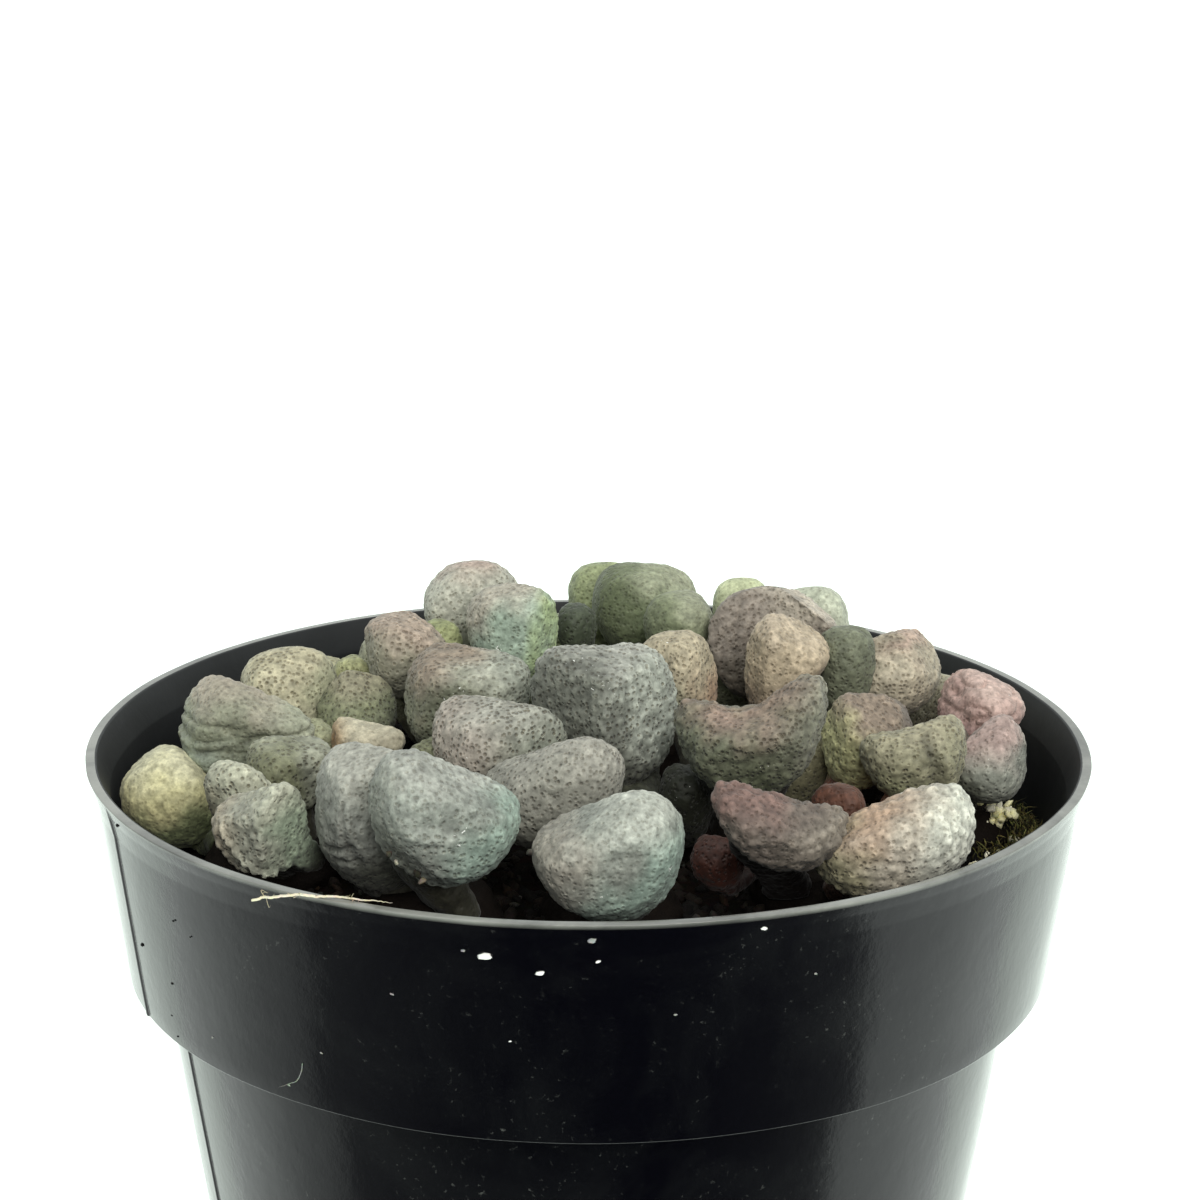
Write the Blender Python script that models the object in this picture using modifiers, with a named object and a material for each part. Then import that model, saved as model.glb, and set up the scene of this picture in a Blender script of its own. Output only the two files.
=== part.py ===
"""A potted aloinopsis: a round plastic nursery pot, its soil, and ten heads of club-shaped leaves.

Metres, +Z up. The origin is the middle of the pot's underside, and the pot's front faces -Y.
"""
import math

import bmesh
import bpy
import numpy as np

MM = 0.001
GAP = 0.3 * MM
MERGE = 0.02 * MM

# Pot: a 9 cm nursery pot with a deep collar round its top.
POT_HEIGHT = 80.0 * MM
LIP_RADIUS = 45.0 * MM
LIP_DEPTH = 1.5 * MM
LIP_ROUND = 0.35 * MM
COLLAR_TOP_RADIUS = 44.2 * MM
COLLAR_FOOT_RADIUS = 41.8 * MM
COLLAR_DEPTH = 19.8 * MM
BODY_TOP_RADIUS = 38.85 * MM
BODY_FOOT_RADIUS = 30.0 * MM
FOOT_ROUND = 0.8 * MM
WALL = 1.2 * MM
FLOOR = 1.6 * MM
POT_STEPS = 48
DRAIN_HOLES = 6
DRAIN_RADIUS = 3.0 * MM
DRAIN_CIRCLE = 19.0 * MM

# Soil: it fills the pot up to 10 mm below the rim and is a little lower at the wall.
SOIL_TOP = POT_HEIGHT - 10.0 * MM
SOIL_EDGE_DROP = 0.6 * MM
SOIL_LEVEL_SHARE = 0.7

# Each head stands on a short woody stem, which is set in the soil and carries the leaf stalks.
STEM_RADIUS = 6.0 * MM
STEM_RISE = 3.6 * MM
STEM_DEPTH = 8.0 * MM
STEM_STEPS = 12
STEM_TOP_SHARE = 0.75
STEM_ROOT_SHARE = 0.5
STEM_WAIST = 0.3

# One leaf's mesh: points round a section, rings up the stalk, rings over the head.
LEAF_SIDES = 12
STALK_RINGS = 2
HEAD_RINGS = (0.0, 0.18, 0.45, 0.74, 0.94)

# The stalk: its foot's height in mm, its size as a share of the head's, and how it bends.
FOOT_RISE = 2.4
FOOT_SHARE = 0.40
NECK_UPRIGHT = 0.70
NECK_LOSS = 0.40
STALK_LIFT = 0.6
FOOT_PULL = 0.40
NECK_PULL = 0.35

# The head: how it swells from its neck to its widest, half way up, and closes over the tip.
WIDEST = 0.5
SWELL_QUICK = 0.6
SWELL_POWER = 2.2
DOME_POWER = 2.6

# The head's section: a rounded oblong, fuller on its outer face, bent about a line inside it.
SIDE_POWER = 0.85
FACE_POWER = 0.9
OUTER_SHARE = 1.1
INNER_SHARE = 0.8
BEND_LINE = 0.35

# Each leaf in mm and degrees: its head's middle (x, y from the pot's axis, z above the soil), the
# way its outer face looks (0 is +X, 270 the front), its lean from upright, its roll, the head's
# width, length and thickness, how far its two edges curl inwards, and where its stalk is rooted.
HEADS = {
    "head_front": ((2, -19), (0.33, 0.36, 0.35), [
        (2.0, -30.0, 10.5, 270, 32, 18, 12.4, 9.6, 10.0, 1.2, 2, -24),
        (-2.5, -18.0, 11.0, 262, 35, 30, 11.5, 7.6, 8.8, 1.5, 0, -18),
        (1.5, -4.5, 14.0, 275, 15, 14, 12.8, 12.0, 11.0, 1.5, 3, -14),
        (4.4, -19.6, 8.4, 40, 6, 0, 5.2, 5.6, 4.4, 0.4, 3.4, -19.4),
    ]),
    "head_front_left": ((-13, -21), (0.34, 0.35, 0.34), [
        (-18.3, -22.8, 11.0, 224, 20, -5, 10.0, 13.0, 8.0, 1.5, -15, -20),
        (-11.5, -29.5, 13.0, 270, 30, -18, 12.0, 10.0, 9.5, 1.5, -11, -25),
        (-8.2, -9.3, 12.0, 248, 25, -5, 11.2, 8.6, 9.0, 1.5, -11, -17),
        (-12.6, -20.2, 8.8, 95, 6, 0, 5.6, 6.2, 4.6, 0.4, -12.8, -20.6),
    ]),
    "head_left": ((-28, -9), (0.40, 0.42, 0.26), [
        (-36.8, -4.0, 6.5, 195, 35, 5, 8.2, 8.5, 7.6, 0.5, -32, -8),
        (-30.5, -0.5, 10.5, 242, 32, 2, 12.4, 9.5, 9.0, 1.5, -28, -6),
        (-26.0, -9.0, 10.0, 280, 15, 0, 7.6, 6.0, 7.5, 1.0, -25, -9),
        (-30.5, -13.5, 9.0, 235, 35, 10, 6.0, 7.0, 5.5, 0.5, -28, -11),
        (-27.5, -22.6, 9.0, 243, 45, 32, 8.0, 7.8, 6.6, 1.0, -27, -13),
        (-33.5, 7.4, 6.0, 160, 20, 0, 6.0, 8.0, 5.5, 0.8, -31, -5),
        (-19.2, -9.8, 6.5, 350, 12, 0, 7.2, 8.0, 6.6, 0.8, -24, -9),
    ]),
    "head_rear_left": ((-21, 8), (0.40, 0.40, 0.27), [
        (-28.0, 10.5, 10.5, 130, 12, 0, 9.0, 9.0, 8.5, 1.0, -24, 9),
        (-21.6, 8.4, 9.5, 290, 18, -5, 7.4, 8.0, 7.0, 1.0, -20, 8),
        (-19.5, 0.0, 9.0, 240, 50, 0, 7.0, 5.5, 6.0, 1.0, -21, 5),
        (-26.5, 20.5, 6.5, 135, 35, 0, 9.5, 8.5, 8.0, 1.0, -22, 11),
        (-22.2, 15.2, 9.8, 200, 5, 0, 4.2, 6.0, 4.0, 0.4, -20, 11),
        (-14.6, -3.8, 7.0, 330, 12, 0, 6.0, 8.0, 4.8, 0.8, -18, 6),
        (-24.8, 4.6, 6.5, 200, 10, 0, 5.5, 6.5, 4.8, 0.5, -23, 7),
        (-33.6, 15.4, 5.5, 150, 10, 0, 6.5, 7.0, 5.5, 0.8, -25, 10),
    ]),
    "head_middle_left": ((-9, 13), (0.42, 0.40, 0.33), [
        (-11.5, 3.5, 12.5, 235, 15, -12, 10.6, 9.6, 10.0, 1.5, -11, 9),
        (-17.0, 14.0, 14.0, 215, 15, 8, 7.4, 8.0, 8.0, 1.2, -13, 13),
        (-11.5, 26.5, 14.5, 110, 10, 0, 8.8, 8.4, 8.5, 1.2, -10, 16),
        (-6.8, 17.0, 15.0, 245, 8, 4, 8.0, 8.0, 8.0, 0.5, -8, 14),
        (-18.5, 28.5, 8.0, 125, 28, 0, 9.0, 8.0, 7.0, 1.0, -13, 16),
        (-14.2, 20.2, 12.0, 235, 5, 0, 4.0, 6.0, 3.6, 0.4, -12, 15),
        (-2.0, 6.5, 10.0, 300, 15, 0, 9.0, 9.5, 8.5, 1.0, -6, 10),
        (-17.4, 20.4, 8.0, 150, 15, 0, 5.0, 7.0, 4.6, 0.5, -13, 15),
        (-8.6, 11.4, 8.8, 60, 5, 0, 5.2, 6.0, 4.4, 0.4, -8.8, 12),
    ]),
    "head_rear": ((5, 23), (0.33, 0.40, 0.26), [
        (-1.0, 20.0, 14.5, 250, 10, 0, 3.6, 5.0, 4.0, 0.5, 2, 21),
        (1.0, 34.0, 12.5, 110, 15, 0, 7.0, 7.5, 7.0, 0.8, 4, 27),
        (5.5, 26.5, 14.5, 260, 8, 0, 9.4, 8.0, 9.0, 1.0, 5, 24),
        (8.5, 19.0, 15.0, 300, 10, 0, 6.2, 6.5, 6.5, 0.8, 7, 21),
        (-6.5, 34.0, 8.0, 105, 30, 0, 8.5, 8.5, 7.5, 1.0, 2, 26),
        (8.5, 35.5, 8.0, 80, 25, 0, 8.6, 8.5, 7.5, 1.0, 6, 27),
        (-3.0, 27.0, 9.5, 165, 10, 0, 6.5, 8.0, 6.5, 0.8, 1, 23),
        (4.5, 12.0, 9.5, 265, 15, 0, 7.5, 9.0, 7.0, 0.8, 5, 19),
    ]),
    "head_middle_right": ((12, 0), (0.38, 0.32, 0.25), [
        (14.0, -13.0, 14.5, 270, 42, 16, 13.0, 8.6, 9.0, 3.2, 13, -4),
        (18.0, 16.0, 14.5, 80, 8, -8, 12.6, 10.5, 7.5, 4.2, 13, 4),
        (18.0, 7.0, 15.0, 275, 8, -14, 7.4, 9.5, 7.0, 0.8, 15, 2),
        (8.5, 5.5, 14.0, 250, 10, 8, 6.6, 8.6, 7.0, 0.8, 10, 2),
        (8.6, -8.4, 7.0, 260, 20, 0, 4.8, 7.0, 4.6, 0.5, 10, -4),
        (19.0, 0.8, 7.0, 10, 20, 0, 7.0, 8.0, 6.0, 0.8, 16, 0),
        (12.2, -1.2, 8.6, 250, 5, 0, 4.8, 5.8, 4.2, 0.4, 12.2, -0.9),
    ]),
    "head_rear_right": ((23, 15), (0.38, 0.36, 0.28), [
        (16.0, 31.0, 13.0, 100, 15, 0, 5.6, 6.5, 6.5, 0.8, 20, 19),
        (22.5, 26.0, 13.5, 70, 12, -10, 7.0, 8.0, 7.0, 1.0, 22, 19),
        (24.5, 9.5, 12.5, 280, 5, 0, 5.2, 8.0, 4.8, 0.6, 22, 12),
        (29.5, 12.5, 12.5, 315, 28, -8, 8.6, 8.0, 7.5, 1.0, 27, 13),
        (27.5, 25.0, 7.5, 45, 20, 0, 8.6, 8.5, 7.5, 1.0, 25, 19),
        (34.0, 16.5, 6.5, 25, 22, 0, 8.0, 8.0, 7.0, 1.0, 27, 16),
        (14.0, 23.0, 9.0, 200, 15, 0, 7.0, 8.0, 7.0, 0.8, 19, 17),
        (21.0, 31.8, 6.0, 60, 15, 0, 7.0, 7.5, 5.5, 0.8, 22, 20),
    ]),
    "head_front_right": ((20, -14), (0.40, 0.33, 0.27), [
        (24.5, -4.0, 11.5, 285, 22, -10, 7.4, 8.5, 7.2, 1.0, 21, -11),
        (28.5, -10.0, 11.5, 285, 30, 8, 9.0, 6.3, 7.0, 2.0, 24, -13),
        (15.5, -27.5, 12.0, 262, 45, -24, 11.8, 5.6, 6.2, 2.0, 17, -18),
        (25.2, -25.0, 9.5, 295, 35, 18, 12.8, 8.8, 8.4, 1.0, 22, -18),
        (11.0, -19.5, 5.5, 235, 30, 0, 4.4, 4.6, 4.2, 0.3, 15, -14),
        (21.4, -15.2, 8.2, 60, 5, 0, 4.8, 5.2, 4.2, 0.4, 21.0, -14.8),
    ]),
    "head_right": ((33, 2), (0.38, 0.28, 0.31), [
        (36.0, 5.0, 11.0, 20, 25, 0, 8.0, 7.0, 7.0, 1.0, 34, 4),
        (35.5, -4.0, 9.5, 330, 40, 20, 7.2, 7.5, 7.0, 1.0, 34, 0),
        (28.0, 4.0, 8.0, 180, 15, 0, 6.5, 8.0, 6.0, 0.8, 30, 3),
        (29.8, -3.0, 6.5, 210, 15, 0, 5.0, 7.0, 5.0, 0.5, 31, 0),
        (32.6, 0.9, 8.2, 100, 5, 0, 4.4, 5.2, 4.0, 0.4, 32.6, 1.3),
    ]),
}


def clear_scene():
    """Remove everything that a new Blender file holds."""
    for thing in list(bpy.data.objects):
        bpy.data.objects.remove(thing, do_unlink=True)


def add_collection(name):
    group = bpy.data.collections.new(name)
    bpy.context.scene.collection.children.link(group)
    return group


def finish(name, colour, roughness):
    """A Principled BSDF finish from a linear colour."""
    material = bpy.data.materials.new(name)
    material.use_nodes = True
    shader = material.node_tree.nodes["Principled BSDF"]
    shader.inputs["Base Color"].default_value = (*colour, 1.0)
    shader.inputs["Roughness"].default_value = roughness
    shader.inputs["Metallic"].default_value = 0.0
    return material


def add_mesh(name, points, edges, faces, group):
    mesh = bpy.data.meshes.new(name)
    mesh.from_pydata(points, edges, faces)
    mesh.update()
    thing = bpy.data.objects.new(name, mesh)
    group.objects.link(thing)
    return thing


def turned(name, profile, steps, group):
    """A solid turned about Z from a profile (radius, height) that starts and ends on the axis."""
    points = [(radius, 0.0, height) for radius, height in profile]
    edges = [(i, i + 1) for i in range(len(points) - 1)]
    thing = add_mesh(name, points, edges, [], group)
    screw = thing.modifiers.new("Turn", "SCREW")
    screw.axis = "Z"
    screw.angle = math.tau
    screw.steps = steps
    screw.render_steps = steps
    screw.use_merge_vertices = True
    screw.merge_threshold = MERGE
    return thing


def cylinder(name, radius, bottom, top, centre, steps, group):
    bpy.ops.mesh.primitive_cylinder_add(vertices=steps, radius=radius, depth=top - bottom,
                                        location=(centre[0], centre[1], (top + bottom) / 2))
    thing = bpy.context.object
    thing.name = name
    for holder in list(thing.users_collection):
        holder.objects.unlink(thing)
    group.objects.link(thing)
    return thing


def hide(cutter):
    cutter.hide_render = True
    cutter.display_type = "WIRE"


def cut(thing, group):
    """Cut the solids of a collection out of thing."""
    boolean = thing.modifiers.new("Cut", "BOOLEAN")
    boolean.operation = "DIFFERENCE"
    boolean.solver = "EXACT"
    boolean.operand_type = "COLLECTION"
    boolean.collection = group


def shade(mesh):
    mesh.shade_smooth()
    mesh.set_sharp_from_angle(angle=math.radians(40))


def body_radius(height):
    """The pot's outer radius below the collar."""
    full = POT_HEIGHT - COLLAR_DEPTH
    return BODY_FOOT_RADIUS + (BODY_TOP_RADIUS - BODY_FOOT_RADIUS) * height / full


def inner_wall():
    """The pot's inner wall from its floor up to the lip, as (radius, height)."""
    shelf = POT_HEIGHT - COLLAR_DEPTH + WALL
    return [
        (body_radius(FLOOR) - WALL, FLOOR),
        (BODY_TOP_RADIUS - WALL, shelf - GAP),
        (COLLAR_FOOT_RADIUS - WALL, shelf),
        (COLLAR_TOP_RADIUS - WALL, POT_HEIGHT - LIP_DEPTH),
    ]


def make_pot(parts, cutters):
    """The pot: thin wall, deep collar, small lip round the rim, and drain holes in a flat floor."""
    step = POT_HEIGHT - COLLAR_DEPTH
    lip_foot = POT_HEIGHT - LIP_DEPTH
    inner_lip = COLLAR_TOP_RADIUS - WALL + LIP_ROUND
    profile = [(0.0, FLOOR)] + inner_wall() + [
        (inner_lip, POT_HEIGHT - LIP_ROUND),
        (inner_lip + LIP_ROUND, POT_HEIGHT),
        (LIP_RADIUS - LIP_ROUND, POT_HEIGHT),
        (LIP_RADIUS, POT_HEIGHT - LIP_ROUND),
        (LIP_RADIUS, lip_foot),
        (COLLAR_TOP_RADIUS, lip_foot - LIP_ROUND),
        (COLLAR_FOOT_RADIUS, step),
        (BODY_TOP_RADIUS, step),
        (body_radius(FOOT_ROUND), FOOT_ROUND),
        (BODY_FOOT_RADIUS - FOOT_ROUND, 0.0),
        (0.0, 0.0),
    ]
    pot = turned("pot", profile, POT_STEPS, parts)
    pot.data.materials.append(finish("black_polypropylene", (0.012, 0.012, 0.014), 0.32))
    drains = bpy.data.collections.new("drains")
    cutters.children.link(drains)
    for i in range(DRAIN_HOLES):
        angle = math.tau * (i + 0.5) / DRAIN_HOLES
        centre = (DRAIN_CIRCLE * math.cos(angle), DRAIN_CIRCLE * math.sin(angle))
        hide(cylinder(f"drain_{i + 1}", DRAIN_RADIUS, -FLOOR, 2 * FLOOR, centre, 16, drains))
    cut(pot, drains)


def make_soil(parts, cutters):
    """The soil: it fills the pot with a small gap to the wall, and each stem has its hole in it."""
    floor, below_step, above_step, lip = inner_wall()
    share = (SOIL_TOP - above_step[1]) / (lip[1] - above_step[1])
    top_radius = above_step[0] + share * (lip[0] - above_step[0]) - 2 * GAP
    profile = [
        (0.0, SOIL_TOP),
        (SOIL_LEVEL_SHARE * top_radius, SOIL_TOP),
        (top_radius, SOIL_TOP - SOIL_EDGE_DROP),
        (above_step[0] - GAP, above_step[1] + GAP),
        (below_step[0] - GAP, below_step[1] + GAP),
        (floor[0] - GAP, floor[1] + GAP),
        (0.0, FLOOR + GAP),
    ]
    soil = turned("soil", profile, POT_STEPS, parts)
    soil.data.materials.append(finish("peat_and_grit", (0.028, 0.020, 0.014), 0.95))
    holes = bpy.data.collections.new("stem_holes")
    cutters.children.link(holes)
    for name, (centre, _, _) in HEADS.items():
        hide(cylinder(f"{name}_hole", STEM_RADIUS + GAP, SOIL_TOP - STEM_DEPTH - GAP, SOIL_TOP + GAP,
                      (centre[0] * MM, centre[1] * MM), STEM_STEPS, holes))
    cut(soil, holes)


def unit(vectors):
    return vectors / np.linalg.norm(vectors, axis=-1, keepdims=True)


def signed_power(values, power):
    return np.sign(values) * np.abs(values) ** power


def leaf_axes(facing, lean, roll):
    """A leaf head's own directions: up its length, across its width, and out of its outer face."""
    facing, lean, roll = np.radians([facing, lean, roll])
    outward = np.array([np.cos(facing), np.sin(facing), 0.0])
    across = np.array([-np.sin(facing), np.cos(facing), 0.0])
    upward = np.array([0.0, 0.0, 1.0])
    length = np.cos(lean) * upward + np.sin(lean) * outward
    face = np.cos(lean) * outward - np.sin(lean) * upward
    return (np.cos(roll) * length - np.sin(roll) * across,
            np.cos(roll) * across + np.sin(roll) * length, face)


def leaf_line(foot, neck, tip, length_way):
    """Ring centres: an S-curve from the foot to the neck, then straight through the head."""
    reach = np.linalg.norm(neck - foot)
    start = unit(neck - foot + np.array([0.0, 0.0, STALK_LIFT * reach]))
    pull_1 = foot + FOOT_PULL * reach * start
    pull_2 = neck - NECK_PULL * reach * length_way
    s = np.linspace(0.0, 1.0, STALK_RINGS, endpoint=False)[:, None]
    stalk = ((1 - s) ** 3 * foot + 3 * (1 - s) ** 2 * s * pull_1
             + 3 * (1 - s) * s ** 2 * pull_2 + s ** 3 * neck)
    q = np.array(HEAD_RINGS)[:, None]
    return np.concatenate([stalk, neck + q * (tip - neck)]), s[:, 0]


def leaf_points(x, y, z, facing, lean, roll, width, length, thickness, curl, foot_x, foot_y):
    """One leaf in mm: rings of points from the stalk's foot to the tip, and the tip's own point.

    The stalk widens into the head by a quick and a slow ease, and the head closes over its blunt
    tip as a superellipse. A section is a rounded oblong bent to a kidney by a parabola.
    """
    length_way, across, face = leaf_axes(facing, lean, roll)
    middle = np.array([x, y, z + SOIL_TOP / MM])
    foot = np.array([foot_x, foot_y, SOIL_TOP / MM + FOOT_RISE])
    neck = middle - 0.5 * length * length_way
    tip = middle + 0.5 * length * length_way
    line, s = leaf_line(foot, neck, tip, length_way)
    q = np.concatenate([np.zeros(STALK_RINGS), HEAD_RINGS])
    turn = np.concatenate([s, np.ones(len(HEAD_RINGS))])[:, None]

    along = unit(np.gradient(line, axis=0))
    along[STALK_RINGS:] = length_way
    level = np.array([-np.sin(np.radians(facing)), np.cos(np.radians(facing)), 0.0])
    wide = (1 - turn) * level + turn * across
    wide = unit(wide - (wide * along).sum(axis=1, keepdims=True) * along)
    deep = np.cross(wide, along)

    rise = np.clip(q / WIDEST, 0.0, 1.0)
    quick = (1 - (1 - rise) ** SWELL_POWER) ** (1 / SWELL_POWER)
    slow = rise ** 2 * (3 - 2 * rise)
    swell = SWELL_QUICK * quick + (1 - SWELL_QUICK) * slow
    dome = (1 - np.clip((q - WIDEST) / (1 - WIDEST), 0.0, 1.0) ** DOME_POWER) ** (1 / DOME_POWER)
    neck_share = NECK_UPRIGHT - NECK_LOSS * np.sin(np.radians(lean))
    stalk_share = FOOT_SHARE + (neck_share - FOOT_SHARE) * turn[:, 0]
    share = (stalk_share + (1 - stalk_share) * swell) * dome
    half_width, half_depth = 0.5 * width * share, 0.5 * thickness * share
    bend = curl * swell * dome

    around = np.linspace(0.0, math.tau, LEAF_SIDES, endpoint=False)
    section_x = signed_power(np.cos(around), SIDE_POWER)
    section_y = signed_power(np.sin(around), FACE_POWER)
    section_y = section_y * np.where(section_y > 0, OUTER_SHARE, INNER_SHARE)
    out = half_depth[:, None] * section_y + bend[:, None] * (BEND_LINE - section_x ** 2)
    rings = (line[:, None] + (half_width[:, None] * section_x)[..., None] * wide[:, None]
             + out[..., None] * deep[:, None])
    end = tip + BEND_LINE * bend[-1] * deep[-1]
    return rings, end


def add_leaf(name, values, group):
    """One leaf as a closed loft between its rings, with a flat foot and a pointed cap at the tip."""
    rings, end = leaf_points(*values)
    count, sides = rings.shape[:2]
    points = [tuple(p) for p in (rings.reshape(-1, 3) * MM)] + [tuple(end * MM)]
    faces = [tuple(reversed(range(sides)))]
    for i in range(count - 1):
        for j in range(sides):
            k = (j + 1) % sides
            faces.append((i * sides + j, i * sides + k, (i + 1) * sides + k, (i + 1) * sides + j))
    last = (count - 1) * sides
    faces += [(last + j, last + (j + 1) % sides, len(points) - 1) for j in range(sides)]
    thing = add_mesh(name, points, [], faces, group)
    mesh = bmesh.new()
    mesh.from_mesh(thing.data)
    bmesh.ops.recalc_face_normals(mesh, faces=mesh.faces)
    mesh.to_mesh(thing.data)
    mesh.free()
    return thing


def make_head(name, centre, colour, leaves, parts):
    """One head: its short stem and its leaves, joined in one solid."""
    below = SOIL_TOP - STEM_DEPTH
    top = SOIL_TOP + STEM_RISE
    stem = turned(f"{name}_stem", [
        (0.0, top),
        (STEM_TOP_SHARE * STEM_RADIUS, top),
        (STEM_RADIUS, SOIL_TOP + STEM_WAIST * STEM_RISE),
        (STEM_RADIUS, SOIL_TOP - STEM_WAIST * STEM_DEPTH),
        (STEM_ROOT_SHARE * STEM_RADIUS, below),
        (0.0, below),
    ], STEM_STEPS, parts)
    stem.location = (centre[0] * MM, centre[1] * MM, 0.0)
    pieces = bpy.data.collections.new(f"{name}_leaves")
    bpy.context.scene.collection.children.link(pieces)
    for i, values in enumerate(leaves):
        add_leaf(f"{name}_leaf_{i + 1}", values, pieces)
    union = stem.modifiers.new("Join", "BOOLEAN")
    union.operation = "UNION"
    union.solver = "MANIFOLD"
    union.operand_type = "COLLECTION"
    union.collection = pieces
    graph = bpy.context.evaluated_depsgraph_get()
    mesh = bpy.data.meshes.new_from_object(stem.evaluated_get(graph))
    mesh.transform(stem.matrix_world)
    for piece in list(pieces.objects) + [stem]:
        bpy.data.objects.remove(piece, do_unlink=True)
    bpy.data.collections.remove(pieces)
    head = bpy.data.objects.new(name, mesh)
    parts.objects.link(head)
    mesh.materials.clear()
    mesh.materials.append(finish(f"{name}_leaf", colour, 0.7))


clear_scene()
parts = add_collection("potted_aloinopsis")
cutters = add_collection("cutters")
make_pot(parts, cutters)
make_soil(parts, cutters)
for head_name, (stem_centre, leaf_colour, leaf_table) in HEADS.items():
    make_head(head_name, stem_centre, leaf_colour, leaf_table, parts)
for part in parts.objects:
    shade(part.data)
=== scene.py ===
"""The looks of a potted aloinopsis: pot, soil, ten heads of warty leaves, and what lies on them.

Lengths are in millimetres in the tables and formulas, and turn to metres as a mesh is made. +Z is up
and -Y is the photograph's front. RIGHT, UP and the other ways below are the viewer's.
"""
import math

import bmesh
import bpy
import numpy as np
from mathutils import Matrix, Vector


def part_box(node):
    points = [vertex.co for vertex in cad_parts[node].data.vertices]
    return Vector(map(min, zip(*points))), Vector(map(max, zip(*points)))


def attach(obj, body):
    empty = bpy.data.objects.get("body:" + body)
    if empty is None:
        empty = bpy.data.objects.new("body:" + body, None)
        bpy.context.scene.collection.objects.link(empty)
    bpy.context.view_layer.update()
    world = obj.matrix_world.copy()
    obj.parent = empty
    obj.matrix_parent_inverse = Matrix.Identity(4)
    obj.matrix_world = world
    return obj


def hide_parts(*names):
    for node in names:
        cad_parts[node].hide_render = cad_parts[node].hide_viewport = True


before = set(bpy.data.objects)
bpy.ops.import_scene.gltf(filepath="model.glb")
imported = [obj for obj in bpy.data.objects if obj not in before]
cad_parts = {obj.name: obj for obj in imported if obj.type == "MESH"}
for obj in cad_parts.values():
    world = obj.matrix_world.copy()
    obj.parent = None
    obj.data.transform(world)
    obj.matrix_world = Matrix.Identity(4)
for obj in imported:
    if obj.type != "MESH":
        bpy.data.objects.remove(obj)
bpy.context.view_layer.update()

# Pot: a 9 cm nursery pot, injection-moulded in one piece from black polypropylene. It has a deep
# collar for stacking, a small lip, two faint parting lines where the mould opened, and drain holes.
POT_LOW, POT_HIGH = (np.array(corner) * 1000 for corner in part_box("pot"))
POT_HEIGHT = POT_HIGH[2]
LIP_RADIUS = POT_HIGH[0]
RIM_WALL = 1.0
RIM_FLARE = 3.0
COLLAR_TOP = 44.2
COLLAR_FOOT = 41.8
COLLAR_DEPTH = 19.8
BODY_TOP = 38.85
BODY_FOOT = 30.0
POT_WALL = 1.2
POT_FLOOR = 1.6
DRAIN_CIRCLE = 19.0
DRAIN_RADIUS = 3.0
DRAIN_COUNT = 6
SEAM_WAYS = (204.6, 24.6)
SEAM_WIDTH = 0.30
SEAM_RISE = 0.16


def linear(code):
    """An sRGB hex colour as linear red, green and blue: each channel through the sRGB curve."""
    part = np.array([int(code[i:i + 2], 16) for i in (1, 3, 5)]) / 255
    return np.where(part <= 0.04045, part / 12.92, ((part + 0.055) / 1.055) ** 2.4)


def add_node(material, kind, inputs=None, **settings):
    """Adds a shader node; an input is given as a value or as the socket that feeds it."""
    tree = material.node_tree
    node = tree.nodes.new(kind)
    for name, value in settings.items():
        setattr(node, name, value)
    for name, value in (inputs or {}).items():
        if isinstance(value, bpy.types.NodeSocket):
            tree.links.new(value, node.inputs[name])
        else:
            node.inputs[name].default_value = value
    return node


def new_material(name, roughness, ior, **inputs):
    """A Principled material with its own shader and an Object coordinate, both returned."""
    material = bpy.data.materials.new(name)
    material.use_nodes = True
    shader = material.node_tree.nodes["Principled BSDF"]
    shader.inputs["Roughness"].default_value = roughness
    shader.inputs["IOR"].default_value = ior
    for name, value in inputs.items():
        shader.inputs[name.replace("_", " ")].default_value = value
    place = add_node(material, "ShaderNodeTexCoord").outputs["Object"]
    return material, shader, place


def wire(material, source, shader, name):
    material.node_tree.links.new(source, shader.inputs[name])


def mix_colour(material, factor, first, second, blend="MIX"):
    """A colour mix; the colours are sockets or linear triples."""
    first, second = (value if isinstance(value, bpy.types.NodeSocket) else (*value, 1.0)
                     for value in (first, second))
    return add_node(material, "ShaderNodeMix", {0: factor, 6: first, 7: second},
                    data_type="RGBA", blend_type=blend).outputs[2]


def add_piece(name, points, faces, *materials):
    """A smooth mesh piece, from points in millimetres, that rides on the one body."""
    mesh = bpy.data.meshes.new(name)
    mesh.from_pydata(np.asarray(points) * 0.001, [], faces)
    mesh.update()
    mesh.shade_smooth()
    for material in materials:
        mesh.materials.append(material)
    piece = bpy.data.objects.new(name, mesh)
    bpy.context.scene.collection.objects.link(piece)
    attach(piece, "root")
    return piece


def paint(piece, name, values):
    """Stores a linear colour or a number for each vertex as an attribute of the piece."""
    values = np.asarray(values, dtype=np.float32)
    if values.ndim == 2:
        values = np.column_stack([values, np.ones(len(values), dtype=np.float32)])
        piece.data.attributes.new(name, "FLOAT_COLOR", "POINT").data.foreach_set("color", values.ravel())
    else:
        piece.data.attributes.new(name, "FLOAT", "POINT").data.foreach_set("value", values)


def lattice_noise(points, size, seed):
    """Smooth noise from -1 to 1: random values on a cubic lattice, eased from corner to corner."""
    table = np.random.default_rng(seed).uniform(-1, 1, (32, 32, 32))
    cell = np.floor(points / size).astype(int)
    share = points / size - cell
    share = share * share * (3 - 2 * share)
    total = 0
    for corner in np.ndindex(2, 2, 2):
        weight = np.prod(np.where(corner, share, 1 - share), axis=-1)
        i, j, k = np.moveaxis((cell + corner) % 32, -1, 0)
        total = total + weight * table[i, j, k]
    return total


def ring_faces(rows, columns, start=0):
    """Quads between rows of points that close round; rows run one way and columns the other."""
    index = start + np.arange(rows * columns).reshape(rows, columns)
    following = np.roll(index, -1, axis=1)
    return np.stack([index[:-1], following[:-1], following[1:], index[1:]], axis=-1).reshape(-1, 4)


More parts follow.
